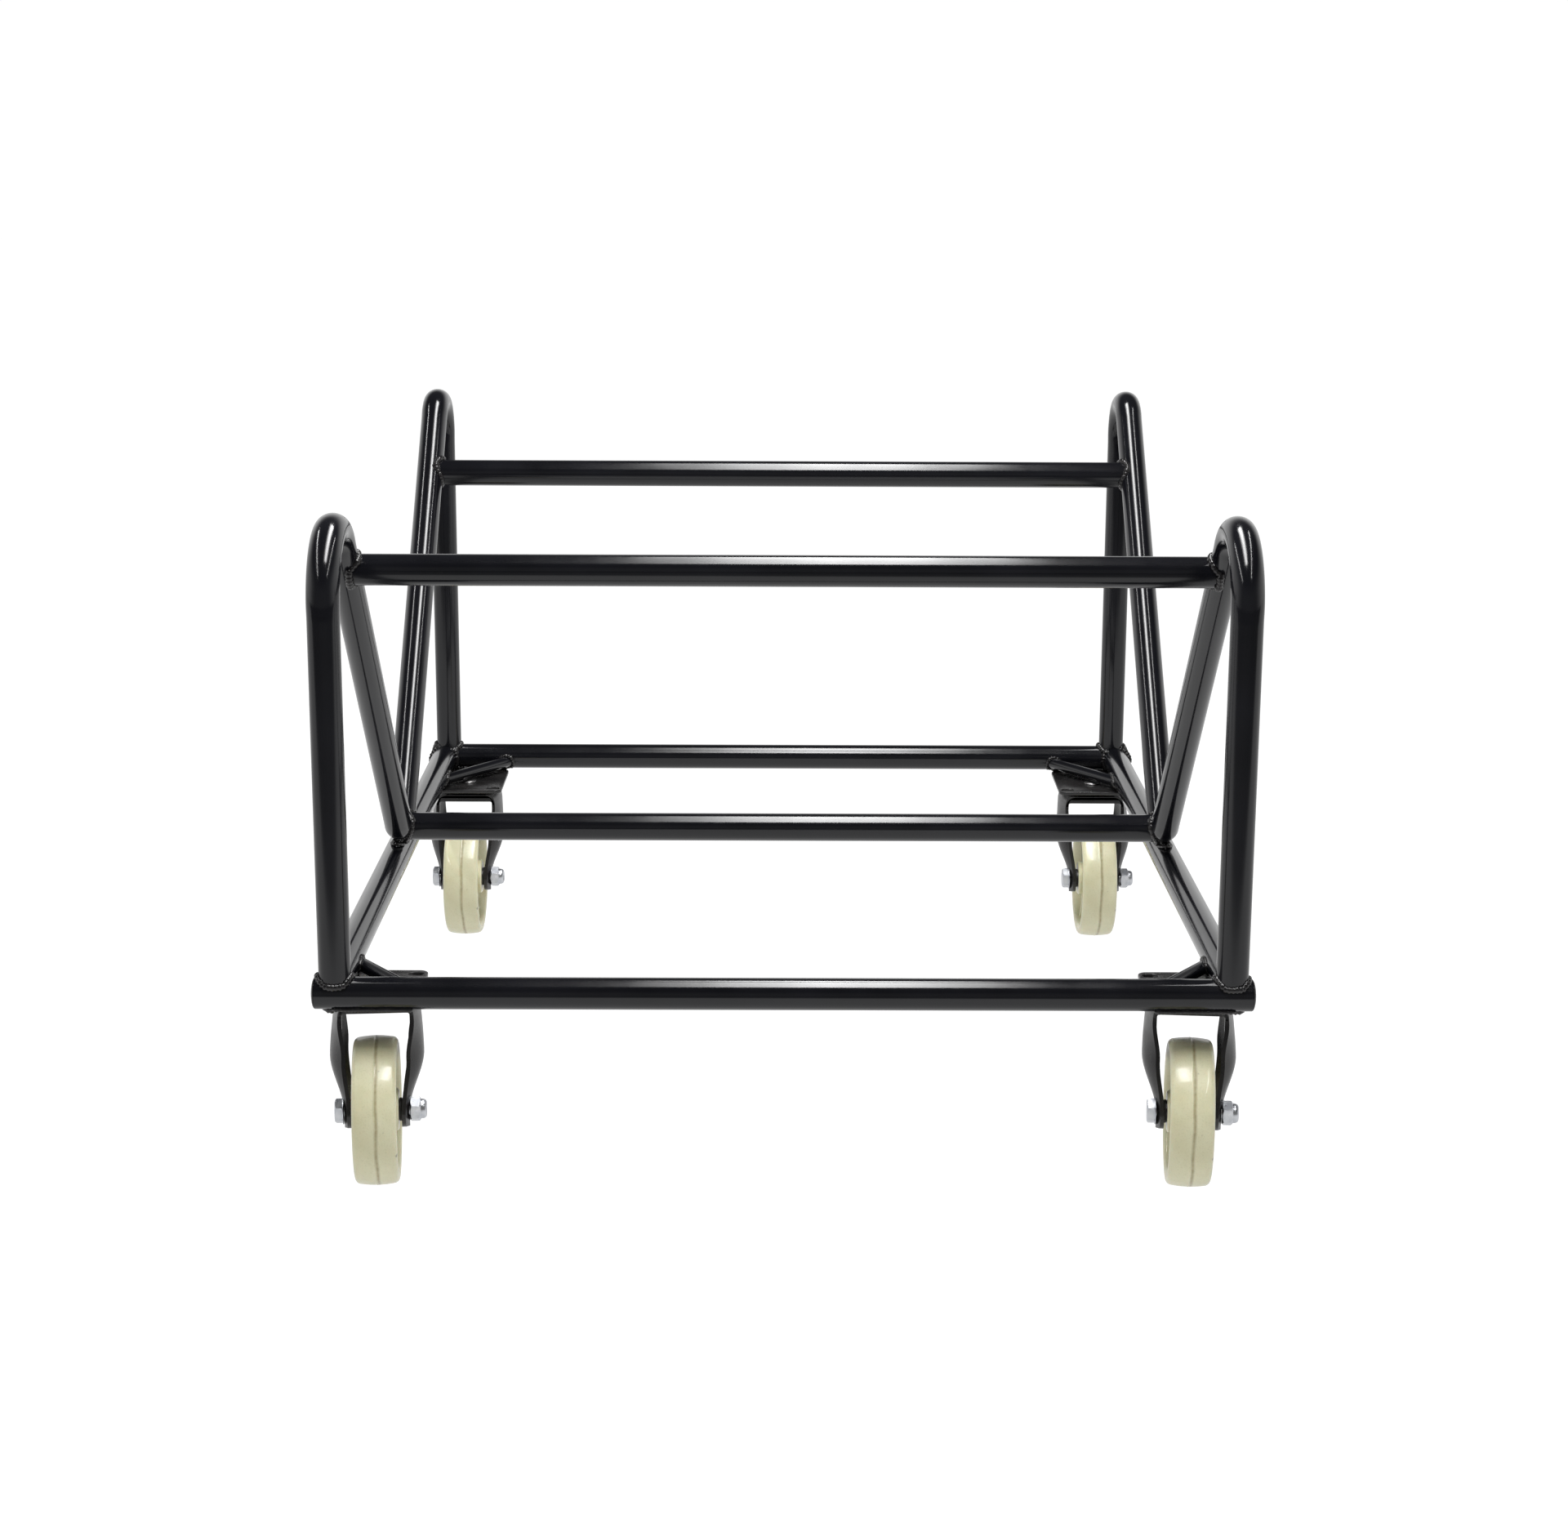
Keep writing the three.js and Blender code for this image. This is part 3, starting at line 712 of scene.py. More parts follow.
# ---- weld beads ----
RIPPLE = 0.0031  # length of one ripple of a bead
RIPPLE_RISE = 0.13  # these three are shares of the bead's radius
LUMP_RISE = 0.38
WANDER = 0.22
FOOT_LUMPS = 0.2  # on the even beads round the posts' feet
LUMP_GRAIN = 170
WANDER_GRAIN = 120
SEED = 1
NOISE_SHIFT = (0.37, 0.73, 0.11)
BEAD_STEP = 0.0008
BEAD_SIDES = 12
TAPER_STEPS = 4  # an open bead tapers over these rings to this share
TAPER = 0.35
LEAST_BEAD_STEPS = 8
COPE_POINTS = 48
WELD_OUT = 0.0006  # a bead's centre line stands this far off the tube
BRACE_WELD_OUT = 0.0004
LOOK_BACK = 0.03  # a brace's rim is carried on from here
VEE_SEAT = (0.0052, 0.013, 0.0025)  # half width, half length and rise of the V's saddle bead
VEE_SEAT_SUNK = 0.0004
noise.seed_set(SEED)  # the same beads at each run


def even_points(path, step, closed):
    """The path again, with points an even step apart."""
    ends = path + [path[0]] if closed else path
    lengths = [0.0]
    for a, b in zip(ends, ends[1:]):
        lengths.append(lengths[-1] + (b - a).length)
    count = max(LEAST_BEAD_STEPS, round(lengths[-1] / step))
    found, i = [], 0
    for k in range(count if closed else count + 1):
        want = lengths[-1] * k / count
        while i < len(ends) - 2 and lengths[i + 1] < want:
            i += 1
        span = max(lengths[i + 1] - lengths[i], LEAST_EDGE)
        found.append(ends[i].lerp(ends[i + 1], (want - lengths[i]) / span))
    return found


def weld_bead(name, path, size, closed=True, lumps=LUMP_RISE):
    """A rippled, uneven rope of weld along a path."""
    points = even_points(path, BEAD_STEP, closed)
    count = len(points)
    centre = sum(points, Vector()) / count
    seed = sum(ord(c) for c in name)
    shift = Vector([seed * part for part in NOISE_SHIFT])
    rings = []
    for i, point in enumerate(points):
        after = points[(i + 1) % count] if closed else points[min(i + 1, count - 1)]
        before = points[i - 1] if closed else points[max(i - 1, 0)]
        along = (after - before).normalized()
        outwards = (point - centre) if closed else Z
        side = along.cross(outwards).normalized()
        up = side.cross(along).normalized()
        ripple = sin(2 * pi * i * BEAD_STEP / RIPPLE + seed)
        lump = noise.noise(point * LUMP_GRAIN + shift)
        radius = size * (1 + RIPPLE_RISE * ripple + lumps * lump)
        if not closed:
            radius *= min(1.0, blend(TAPER, 1.0, min(i, count - 1 - i) / TAPER_STEPS))
        jitter = noise.noise_vector(point * WANDER_GRAIN + shift) * (size * WANDER)
        rings.append(circle(point + jitter, side, up, radius, BEAD_SIDES))
    mesh = Surface().skin(rings, closed=closed).mesh(name, BEAD_SHARP)
    place(name, mesh, WELD_PAINT)


def cope_path(centre, along, reach):
    """The corner line where a level tube's coped end meets the tube it is welded to."""
    rim = circle(centre, along.cross(Z), Z, TUBE_RADIUS + WELD_OUT, COPE_POINTS)
    return [p - along * reach(p) for p in rim]


def along_cylinder(point, along, axis_point, axis, radius):
    """How far point is from a cylinder's surface, along the given direction."""
    offset = point - axis_point
    offset -= axis * offset.dot(axis)
    flat = along - axis * along.dot(axis)
    a, b, c = flat.dot(flat), 2 * offset.dot(flat), offset.dot(offset) - radius**2
    return (-b - sqrt(max(0, b * b - 4 * a * c))) / (2 * a)


def build_tube_welds():
    for name, e, s in CORNERS:
        tube = TUBES[e]
        foot = circle(Vector((s * HOOP_X, tube.y, 0)), X, Y, TUBE_RADIUS, COPE_POINTS)
        for point in foot:
            point.z = tube.z + foot_height(point.y - tube.y, TUBE_RADIUS + WELD_OUT)
        weld_bead(f"{name}_post_weld", foot, FOOT_WELD, lumps=FOOT_LUMPS)
        rail_end = Vector((s * RAIL_X, tube.y, BASE_Z))
        weld_bead(f"{name}_rail_weld", cope_path(rail_end, Y * e, on_cross_tube), WELD)
        rail = middle(f"{name.split('_')[0]}_top_rail")
        rail_end = Vector((s * HOOP_X, rail.y, rail.z))
        weld_bead(f"{name}_top_rail_weld", cope_path(rail_end, X * s, on_hoop), WELD)
    half_width, half_length, rise = VEE_SEAT
    z = BASE_Z + TUBE_RADIUS - VEE_SEAT_SUNK
    turns = [radians(a) for a in spread(0, 360, COPE_POINTS)[:-1]]
    for side, s in SIDES:
        bar = middle("middle_cross_tube")
        bar_end = Vector((s * HOOP_X, bar.y, bar.z))
        weld_bead(f"{side}_middle_tube_weld", cope_path(bar_end, X * s, on_hoop), WELD)
        x = s * (HOOP_X + RAIL_X) / 2
        seat = [(x + half_width * cos(a), VEE_Y + half_length * sin(a), z + rise * abs(sin(a)))
                for a in turns]
        weld_bead(f"{side}_vee_weld", [Vector(point) for point in seat], SMALL_WELD)


def build_brace_welds():
    for name, e, s in CORNERS:
        first, last = brace_line(name, e, s)
        along = (last - first).normalized()
        tube = Vector((0, VEE_Y + e * HALF_BASE, BASE_Z))
        rail = Vector((s * RAIL_X, 0, BASE_Z))
        ends = (("cross", first, -along, tube, X), ("rail", last, along, rail, Y))
        for where, end, outwards, on, axis in ends:
            start = end - outwards * LOOK_BACK
            side = outwards.cross(Z)
            loop = circle(start, side, Z, BRACE_RADIUS + BRACE_WELD_OUT, BRACE_SIDES)
            loop = [p + outwards * along_cylinder(p, outwards, on, axis, TUBE_RADIUS) for p in loop]
            weld_bead(f"{name}_brace_{where}_weld", loop, SMALL_WELD)


PLATE_BEAD_UP = 0.0016  # above the plate
PLATE_BEAD_OUT = 0.0075  # from the tube's centre line
PLATE_BEAD_END = 0.002
RAIL_BEAD_START = 0.014


def build_plate_welds():
    """Beads in the corners between each plate and the two tubes that it is welded under."""
    for name, e, s in CORNERS:
        low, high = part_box(f"{name}_caster_plate")
        tube_y = VEE_Y + e * HALF_BASE
        inner_x = low.x if s > 0 else high.x
        outer_x = s * (RAIL_X - PLATE_BEAD_END)
        inner_y = high.y if e < 0 else low.y
        rail_x = s * (RAIL_X - PLATE_BEAD_OUT)
        near_y, far_y = (tube_y + side * e * PLATE_BEAD_OUT for side in (-1, 1))
        lines = (("tube", (inner_x, near_y), (outer_x, near_y)),
                 ("outer", (inner_x, far_y), (outer_x, far_y)),
                 ("rail", (rail_x, tube_y - e * RAIL_BEAD_START), (rail_x, inner_y)))
        for where, *ends in lines:
            path = [Vector((x, y, high.z + PLATE_BEAD_UP)) for x, y in ends]
            weld_bead(f"{name}_plate_{where}_weld", path, SMALL_WELD, closed=False)


# ---- flat sheet outlines ----
CORNER_STEPS = 8  # steps in a quarter round
SLOT_STEPS = 10  # in a slot's half round
HOLE_POINTS = 48


def filled_outline(name, outlines, thickness, bevel):
    """A flat sheet in XY with rounded edges, centred on Z 0. Later outlines are holes."""
    curve = bpy.data.curves.new(name, "CURVE")
    curve.dimensions = "2D"
    curve.fill_mode = "BOTH"
    curve.extrude = thickness / 2 - bevel
    curve.bevel_depth = bevel
    curve.bevel_resolution = 2
    curve.offset = -bevel
    for outline in outlines:
        line = curve.splines.new("POLY")
        line.points.add(len(outline) - 1)
        for point, (x, y) in zip(line.points, outline):
            point.co = (x, y, 0, 1)
        line.use_cyclic_u = True
    holder = in_scene(name, curve)
    bpy.context.view_layer.update()
    mesh = bpy.data.meshes.new_from_object(holder)
    bpy.data.objects.remove(holder)
    bpy.data.curves.remove(curve)
    mesh.name = name
    clean(mesh, SHARP)
    return mesh


def rounded_rectangle(half_x, half_y, corner):
    x, y = half_x - corner, half_y - corner
    corners = ((x, y, 0), (-x, y, 90), (-x, -y, 180), (x, -y, 270))
    return [p for cx, cy, a in corners for p in arc((cx, cy), corner, a, a + 90, CORNER_STEPS)]


def slot_outline(x, y):
    half = SLOT_LENGTH / 2 - SLOT_RADIUS
    right = arc((x + half, y), SLOT_RADIUS, -90, 90, SLOT_STEPS)
    left = arc((x - half, y), SLOT_RADIUS, 90, 270, SLOT_STEPS)
    return (right + left)[::-1]


# ---- casters, each drawn about its own swivel axis ----
SWIVEL = joint_place("rear_left_swivel_turn")
AXLE = joint_place("rear_left_wheel_roll")
TRAIL = hypot(SWIVEL.x - AXLE.x, SWIVEL.y - AXLE.y)
AXLE_Z = AXLE.z
PLATE_LOW, PLATE_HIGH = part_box("rear_left_caster_plate")
TREAD_RADIUS = AXLE_Z - SEAM_HEIGHT
RACE_LOW, RACE_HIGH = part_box("rear_left_swivel_race")
PIN_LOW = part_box("rear_left_kingpin")[0]
CROWN_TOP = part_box("rear_left_fork")[1].z
AXLE_POINT = Vector((0, -TRAIL, AXLE_Z))
LEG_FACE = FORK_TIP_HALF + GAP


def plate_mesh(end):
    """The top plate about its swivel axis, which is a little off the plate's middle."""
    half = (PLATE_HIGH - PLATE_LOW) / 2
    off = middle(f"{end}_left_caster_plate").y - joint_place(f"{end}_left_swivel_turn").y
    outlines = [[(x, y + off) for x, y in rounded_rectangle(half.x, half.y, PLATE_CORNER)]]
    slots = [(a * SLOT_SPACING[0] / 2, b * SLOT_SPACING[1] / 2) for a in (-1, 1) for b in (-1, 1)]
    outlines += [slot_outline(x, y + off) for x, y in slots]
    outlines.append(arc((0, 0), PIN_RADIUS + GAP, 360, 360 / HOLE_POINTS, HOLE_POINTS - 1))
    mesh = filled_outline(f"{end}_caster_plate", outlines, 2 * half.z, PLATE_BEVEL)
    mesh.transform(Matrix.Translation((0, 0, (PLATE_LOW.z + PLATE_HIGH.z) / 2)))
    return mesh


def kingpin_mesh():
    top, low, edge = PLATE_HIGH.z, PIN_LOW.z, PIN_HEAD_CHAMFER
    seat = top + RIVET_LIFT
    profile = [(low, 0), (low, PIN_HEAD_RADIUS - edge), (low + edge, PIN_HEAD_RADIUS)]
    profile += [(low + PIN_HEAD_HEIGHT, PIN_HEAD_RADIUS), (low + PIN_HEAD_HEIGHT, PIN_RADIUS)]
    profile += [(top, PIN_RADIUS), (seat, PIN_RADIUS)]
    dome = [radians(RIVET_STEP * i) for i in range(RIVET_STEPS)]
    profile += [(seat + RIVET_DOME * sin(a), RIVET_RADIUS * cos(a)) for a in dome]
    profile.append((seat + RIVET_DOME, 0))
    return turned("kingpin", profile, Z, Vector(), closed=False)


def race_mesh():
    """Two pressed raceways with the groove of the ball row between them."""
    low, high = RACE_LOW.z, RACE_HIGH.z
    radius = (RACE_HIGH.x - RACE_LOW.x) / 2
    bore = PIN_RADIUS + RACE_PLAY
    levels = [low, low + RACE_CHAMFERS[0], *(blend(low, high, t) for t in GROOVE_LEVELS),
              high - RACE_CHAMFERS[1], high]
    side = [(z, radius - depth) for z, depth in zip(levels, RACE_DEPTHS)]
    return turned("swivel_race", [(low, bore), *side, (high, bore)], Z, Vector())


def leg_row(down, sign, across_steps):
    """One line across a fork leg's outer face, and its inner face's line."""
    top = CROWN_TOP - SHOULDER
    tip = AXLE_Z - TIP_RADIUS
    z = top + (tip - top) * down
    at_axle = (top - AXLE_Z) / (top - tip)
    narrowing = min(1.0, down / at_axle)
    below = max(0.0, AXLE_Z - z)
    round_half = sqrt(max(TIP_FLAT**2, TIP_RADIUS**2 - below**2))
    half = blend(CROWN_DEPTH / 2, round_half, narrowing) if below == 0 else round_half
    inwards = smoothstep(down, *LEG_PINCH)
    swell = sin(pi * min(1.0, down / LEG_PINCH[1])) * FORK_BULGE
    sag = blend(blend(CROWN_SAG, LEG_SAG, smoothstep(down, 0, BELLY_AT)), TIP_SAG, inwards)
    outer, inner = [], []
    for v in across_steps:
        face = blend(FORK_HALF + swell, FORK_TIP_HALF, inwards) - sag * v * v
        y = -TRAIL * narrowing + v * half
        outer.append(Vector((sign * face, y, z)))
        inner.append(Vector((sign * (face - SHEET), y, z)))
    return outer, inner


def crown_row(angle, sign, across_steps):
    """One line across a rounded shoulder. Angle is 0 at the leg and 90 on the crown."""
    a = radians(angle)
    outer, inner = [], []
    for v in across_steps:
        drawn = CROWN_SAG * v * v * cos(a)
        for line, radius in ((outer, SHOULDER), (inner, SHOULDER - SHEET)):
            x = FORK_HALF - SHOULDER + radius * cos(a) - drawn
            z = CROWN_TOP - SHOULDER + radius * sin(a)
            line.append(Vector((sign * x, v * CROWN_DEPTH / 2, z)))
    return outer, inner


def fork_mesh():
    """The pressed sheet: one leg, the crown and the other leg in one bent strip."""
    across = spread(-1, 1, STRIP_STEPS)
    at_axle = (CROWN_TOP - SHOULDER - AXLE_Z) / (CROWN_TOP - SHOULDER - AXLE_Z + TIP_RADIUS)
    downs = spread(0, at_axle, LEG_STEPS)[1:]
    downs += [blend(at_axle, 1, sin(radians(ROUND_STEP * i))) for i in range(1, TIP_STEPS + 1)]
    downs.append(TIP_STOP)
    rows = []
    for sign in (-1, 1):
        half = [leg_row(d, sign, across) for d in reversed(downs)]
        half += [crown_row(ROUND_STEP * i, sign, across) for i in range(SHOULDER_STEPS + 1)]
        rows += half if sign < 0 else half[::-1]
    surface = Surface().skin([outer + inner[::-1] for outer, inner in rows])
    return surface.mesh("fork_strip", BENT_SHARP)


def lip_mesh():
    """The fork's front edge, folded down between the legs with rounded inner corners."""
    half = FORK_HALF - CROWN_SAG
    low = CROWN_TOP - SHOULDER - LIP_LEG
    lip = CROWN_TOP - CROWN_LIP
    inner = half - SHEET
    reach, height, corner = half - SHOULDER, CROWN_TOP - SHOULDER, LIP_CORNER
    outline = [(half, low)] + arc((reach, height), SHOULDER, 0, 90, SHOULDER_STEPS + 1)
    outline += arc((-reach, height), SHOULDER, 90, 180, SHOULDER_STEPS + 1)
    outline += [(-half, low), (-inner, low)]
    outline += arc((corner - inner, lip - corner), corner, 180, 90, CORNER_STEPS)
    outline += arc((inner - corner, lip - corner), corner, 90, 0, CORNER_STEPS) + [(inner, low)]
    mesh = filled_outline("fork_lip", [outline], SHEET, LIP_BEVEL)
    mesh.transform(Matrix.Rotation(radians(90), 4, "X"))
    mesh.transform(Matrix.Translation((0, (SHEET - CROWN_DEPTH) / 2, 0)))
    return mesh


def join_meshes(name, meshes, sharp):
    work = bmesh.new()
    for mesh in meshes:
        work.from_mesh(mesh)
        bpy.data.meshes.remove(mesh)
    joined = bpy.data.meshes.new(name)
    smooth(work, joined, sharp)
    return joined


def hexagon_radius(angle):
    sixth = pi / 3
    return BOLT_FLATS / 2 / cos((angle + sixth / 2) % sixth - sixth / 2)


def hexagon_rings(start, height, sign):
    """Rings of a hexagon about the axle, with its outer corners chamfered to a circle."""
    face = BOLT_FLATS / 2 * FACE_SHARE
    turns = [radians(a) for a in spread(0, 360, HEXAGON_POINTS)[:-1]]

    def chamfer(angle):
        return (hexagon_radius(angle) - face) * CHAMFER_SLOPE + HEXAGON_INSET

    def ring(along, radius):
        steps = [(sign * along(a), radius(a) * cos(a), radius(a) * sin(a)) for a in turns]
        return [AXLE_POINT + Vector(step) for step in steps]

    return [
        ring(lambda a: start, lambda a: face),
        ring(lambda a: start + chamfer(a), hexagon_radius),
        ring(lambda a: start + height - chamfer(a), hexagon_radius),
        ring(lambda a: start + height, lambda a: face),
    ]


def bolt_mesh():
    surface = Surface()
    surface.skin(hexagon_rings(LEG_FACE, BOLT_HEAD, -1))
    washer = [(-LEG_FACE - height, radius) for height, radius in WASHER]
    washer = [(washer[0][0], 0), *washer, (-LEG_FACE, 0)]
    lathe(surface, washer, X, AXLE_POINT)
    tip = LEG_FACE + NUT_HEIGHT
    root = BOLT_RADIUS - THREAD_DEPTH
    thread = [(LEG_FACE + PITCH * (i + half), radius)
              for i in range(THREADS) for half, radius in ((0, root), (0.5, BOLT_RADIUS))]
    shank = [(-LEG_FACE, 0), (-LEG_FACE, root), *thread, (tip, BOLT_RADIUS - BOLT_TIP), (tip, 0)]
    lathe(surface, shank, X, AXLE_POINT)
    return surface.mesh("axle_bolt", TURNED_SHARP)


def nut_mesh():
    """Locking nut: a hexagon and a round, domed collar."""
    surface = Surface()
    surface.skin(hexagon_rings(LEG_FACE, NUT_HEIGHT - NUT_FACE_LOSS, 1))
    start = LEG_FACE + NUT_HEIGHT - COLLAR_SUNK
    stop = LEG_FACE + NUT_HEIGHT + NUT_COLLAR
    turns = [radians(ROUND_STEP * i) for i in range(COLLAR_STEPS + 1)]
    flank, rim = stop - COLLAR_HEIGHT, COLLAR_RADIUS - COLLAR_ROUND
    profile = [(start, BOLT_RADIUS), (start, COLLAR_RADIUS)]
    profile += [(flank + COLLAR_HEIGHT * sin(a), rim + COLLAR_ROUND * cos(a)) for a in turns]
    depth, step = BORE_CHAMFER
    profile += [(stop, BOLT_RADIUS), (stop - depth, BOLT_RADIUS - step)]
    return lathe(surface, profile, X, AXLE_POINT, closed=True).mesh("axle_nut", TURNED_SHARP)


def sleeve_mesh():
    low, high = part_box("rear_left_axle_sleeve")
    half = (high.x - low.x) / 2
    edge = SLEEVE_BEVEL
    profile = [(-half, SLEEVE_BORE), (-half, SLEEVE_RADIUS - edge), (edge - half, SLEEVE_RADIUS)]
    profile += [(-along, radius) for along, radius in profile[::-1]]
    return turned("axle_sleeve", profile, X, AXLE_POINT)


def spacer_mesh(sign, low, high):
    """Stepped plastic bush between the hub and a fork leg."""
    bore = SLEEVE_RADIUS + GAP
    step = blend(low, high, SPACER_STEP_PLACE)
    edge, fine = SPACER_CHAMFER, SPACER_FINE_CHAMFER
    profile = [(low, bore), (low, SPACER_RADIUS - edge), (low + edge, SPACER_RADIUS)]
    profile += [(step - fine, SPACER_RADIUS), (step, SPACER_RADIUS - edge)]
    profile += [(step, SPACER_STEP), (high - fine, SPACER_STEP)]
    profile += [(high, SPACER_STEP - fine), (high, bore)]
    handed = [(sign * along, radius) for along, radius in profile]
    return turned("hub_spacer", handed, X, AXLE_POINT)


def wheel_side():
    """One half of the wheel's section, from the bore out to the middle of the tread."""
    bore = SLEEVE_RADIUS + BORE_PLAY
    fillet, corner, drop = WEB_FILLET, TREAD_CORNER, TREAD_CROWN
    side = [(WHEEL_HALF - HUB_EDGE, bore), (WHEEL_HALF, bore + HUB_EDGE)]
    side += [(WHEEL_HALF, HUB_RADIUS - HUB_ROUND), (WHEEL_HALF - HUB_ROUND, HUB_RADIUS)]
    web = WEB_HALF + fillet
    side += [(x, r) for r, x in arc((HUB_RADIUS + fillet, web), fillet, 180, 270, FILLET_STEPS)]
    side += [(x, r) for r, x in arc((RECESS_RADIUS - fillet, web), fillet, 270, 360, FILLET_STEPS)]
    side += [(WHEEL_HALF - inwards, RECESS_RADIUS + up) for inwards, up in RIM_FLARE]
    flat = WHEEL_HALF - corner
    middle_radius = TREAD_RADIUS - TREAD_DROP - corner
    side += arc((flat, middle_radius), corner, 0, TREAD_TURN, TREAD_STEPS)
    side += [(flat * t, TREAD_RADIUS - drop * t * t) for t in TREAD_PLACES]
    side += [(SEAM_HALF, TREAD_RADIUS + SEAM_FOOT), (0.0, TREAD_RADIUS + SEAM_HEIGHT)]
    return side


def wheel_mesh():
    """Drawn about its own centre, so that the finish turns with it."""
    side = wheel_side()
    other = [(-x, r) for x, r in side[::-1]]
    surface = lathe(Surface(), side + other[1:], X, Vector(), WHEEL_SIDES, closed=True)
    for i in range(RIBS):
        add_rib(surface, 2 * pi * i / RIBS, -1)
        add_rib(surface, 2 * pi * (i + 0.5) / RIBS, 1)
    return surface.mesh("wheel", TURNED_SHARP)


def add_rib(surface, angle, sign):
    """A drafted radial rib in the recess, between the hub and the rim."""
    outwards = Vector((0, cos(angle), sin(angle)))
    side = Vector((0, -sin(angle), cos(angle)))
    base, top = WEB_HALF - RIB_SUNK, WEB_HALF + RIB_HEIGHT
    half = ((RIB_HALF[0], base), (RIB_HALF[1], top - RIB_CHAMFER), (RIB_HALF[2], top))
    section = [(-w, x) for w, x in half] + list(half[::-1])
    rings = []
    for t in spread(0, 1, RIB_STEPS):
        r = blend(HUB_RADIUS - RIB_SUNK, RECESS_RADIUS + RIB_SUNK, t)
        dip = RIB_DIP * sin(pi * t)
        rings.append([outwards * r + side * w + X * (sign * (x - (dip if x > base else 0)))
                      for w, x in section])
    surface.skin(rings)


def build_casters():
    spacer = (WHEEL_HALF + GAP, FORK_TIP_HALF - SHEET - GAP)
    turning = {
        "swivel_race": (race_mesh(), SCUFFED),
        "fork": (join_meshes("fork", [fork_mesh(), lip_mesh()], BENT_SHARP), SCUFFED),
        "axle_bolt": (bolt_mesh(), ZINC),
        "axle_nut": (nut_mesh(), ZINC),
        "axle_sleeve": (sleeve_mesh(), STEEL),
        "hub_spacer_a": (spacer_mesh(-1, *spacer), PLASTIC),
        "hub_spacer_b": (spacer_mesh(1, *spacer), PLASTIC),
    }
    plates = {e: plate_mesh(end) for end, e in ENDS}
    pin, wheel = kingpin_mesh(), wheel_mesh()
    for i, (name, e, _) in enumerate(CORNERS):
        pivot = joint_place(f"{name}_swivel_turn")
        at = (pivot.x, pivot.y, 0)
        axle = joint(f"{name}_wheel_roll")["axis"]
        turn = atan2(axle[1], axle[0])
        skin(f"{name}_caster_plate", plates[e], SCUFFED, "frame", at)
        skin(f"{name}_kingpin", pin, STEEL, "frame", at)
        for part, (mesh, material) in turning.items():
            piece = skin(f"{name}_{part}", mesh, material, f"{name}_swivel", at, turn)
            if part == "fork":
                soften(piece)
        tyre = wheel.copy()
        tyre.transform(Matrix.Rotation(radians(WHEEL_TURN * i), 4, "X"))
        centre = joint_place(f"{name}_wheel_roll")
        skin(f"{name}_wheel", tyre, NYLON, f"{name}_wheel_body", centre, turn)


# ---- studio ----
FLOOR_SIZE = 30.0
STRIP_HEIGHT = 2.1
STRIPS = (  # place along X, width, near end, far end, radiance
    (-0.15, 0.10, -1.30, 0.85, 5.3),
    (-0.04, 0.10, -1.30, 0.85, 15.0),
    (0.07, 0.10, -1.30, 0.85, 23.0),
    (0.18, 0.10, -1.30, 0.85, 21.0),
    (0.29, 0.10, -1.30, 0.85, 10.5),
    (-1.50, 0.07, -2.20, 0.85, 26.0),
    (1.05, 0.06, -2.20, 0.60, 22.0),
)
FLOOR_GLOW = 0.74
FLOOR_FADE = (1.05, 1.35)  # where its reflection darkens, in front
FADED = 0.93  # share of the glow that is lost there
FADE_SCALE = 0.25  # into a ramp's range
FLOOR_GREY = (0.12, 0.14)
FILL_PLACE = (0, -3.2, 1.0)
FILL_AIM = (0, 0, 0.1)
FILL_SIZE = (2.6, 1.6)
FILL_RADIANCE = 1.1
WHITE_UP_TO = 12  # degrees above the horizon
DIM_FROM = 38
WORLD_AHEAD = (-0.75, 0.1)  # from dim in front to white behind
DIM_AHEAD = 0.12
WORLD_WHITE = 0.95
WORLD_LEAST = 0.06


def build_floor():
    """Evenly lit and pale. Its reflections get darker away from the light, in front."""
    half = FLOOR_SIZE / 2
    corners = [(-half, -half, 0), (half, -half, 0), (half, half, 0), (-half, half, 0)]
    mesh = bpy.data.meshes.new("studio_floor")
    mesh.from_pydata(corners, [], [(0, 1, 2, 3)])
    floor_piece = in_scene("studio_floor", mesh)
    pale = Finish("pale_floor").set(
        Roughness=0.9, Specular_IOR_Level=0.0, Emission_Color=(1, 1, 1, 1))
    pale.feed("Base Color", pale.ramp(pale.noise(3), EVEN, *FLOOR_GREY))
    split = pale.nodes.new("ShaderNodeSeparateXYZ")
    pale.links.new(pale.place, split.inputs["Vector"])
    ahead = pale.maths("MULTIPLY", split.outputs["Y"], -FADE_SCALE)
    shade = pale.ramp(ahead, [distance * FADE_SCALE for distance in FLOOR_FADE], 0, FADED)
    ray = pale.nodes.new("ShaderNodeLightPath").outputs
    lit = pale.maths("SUBTRACT", 1.0, pale.maths("MULTIPLY", shade, ray["Is Glossy Ray"]))
    glow = pale.maths("MULTIPLY", lit, FLOOR_GLOW)
    pale.feed("Emission Strength", pale.maths("MAXIMUM", glow, ray["Is Camera Ray"]))
    mesh.materials.append(pale.material)


def area_light(name, at, aim, width, length, radiance):
    light = bpy.data.lights.new(name, "AREA")
    light.shape = "RECTANGLE"
    light.size = width
    light.size_y = length
    light.energy = radiance * pi * width * length
    holder = in_scene(name, light)
    holder.location = at
    holder.rotation_mode = "QUATERNION"
    holder.rotation_quaternion = (Vector(aim) - Vector(at)).to_track_quat("-Z", "Y")
    holder.visible_camera = False
    return holder


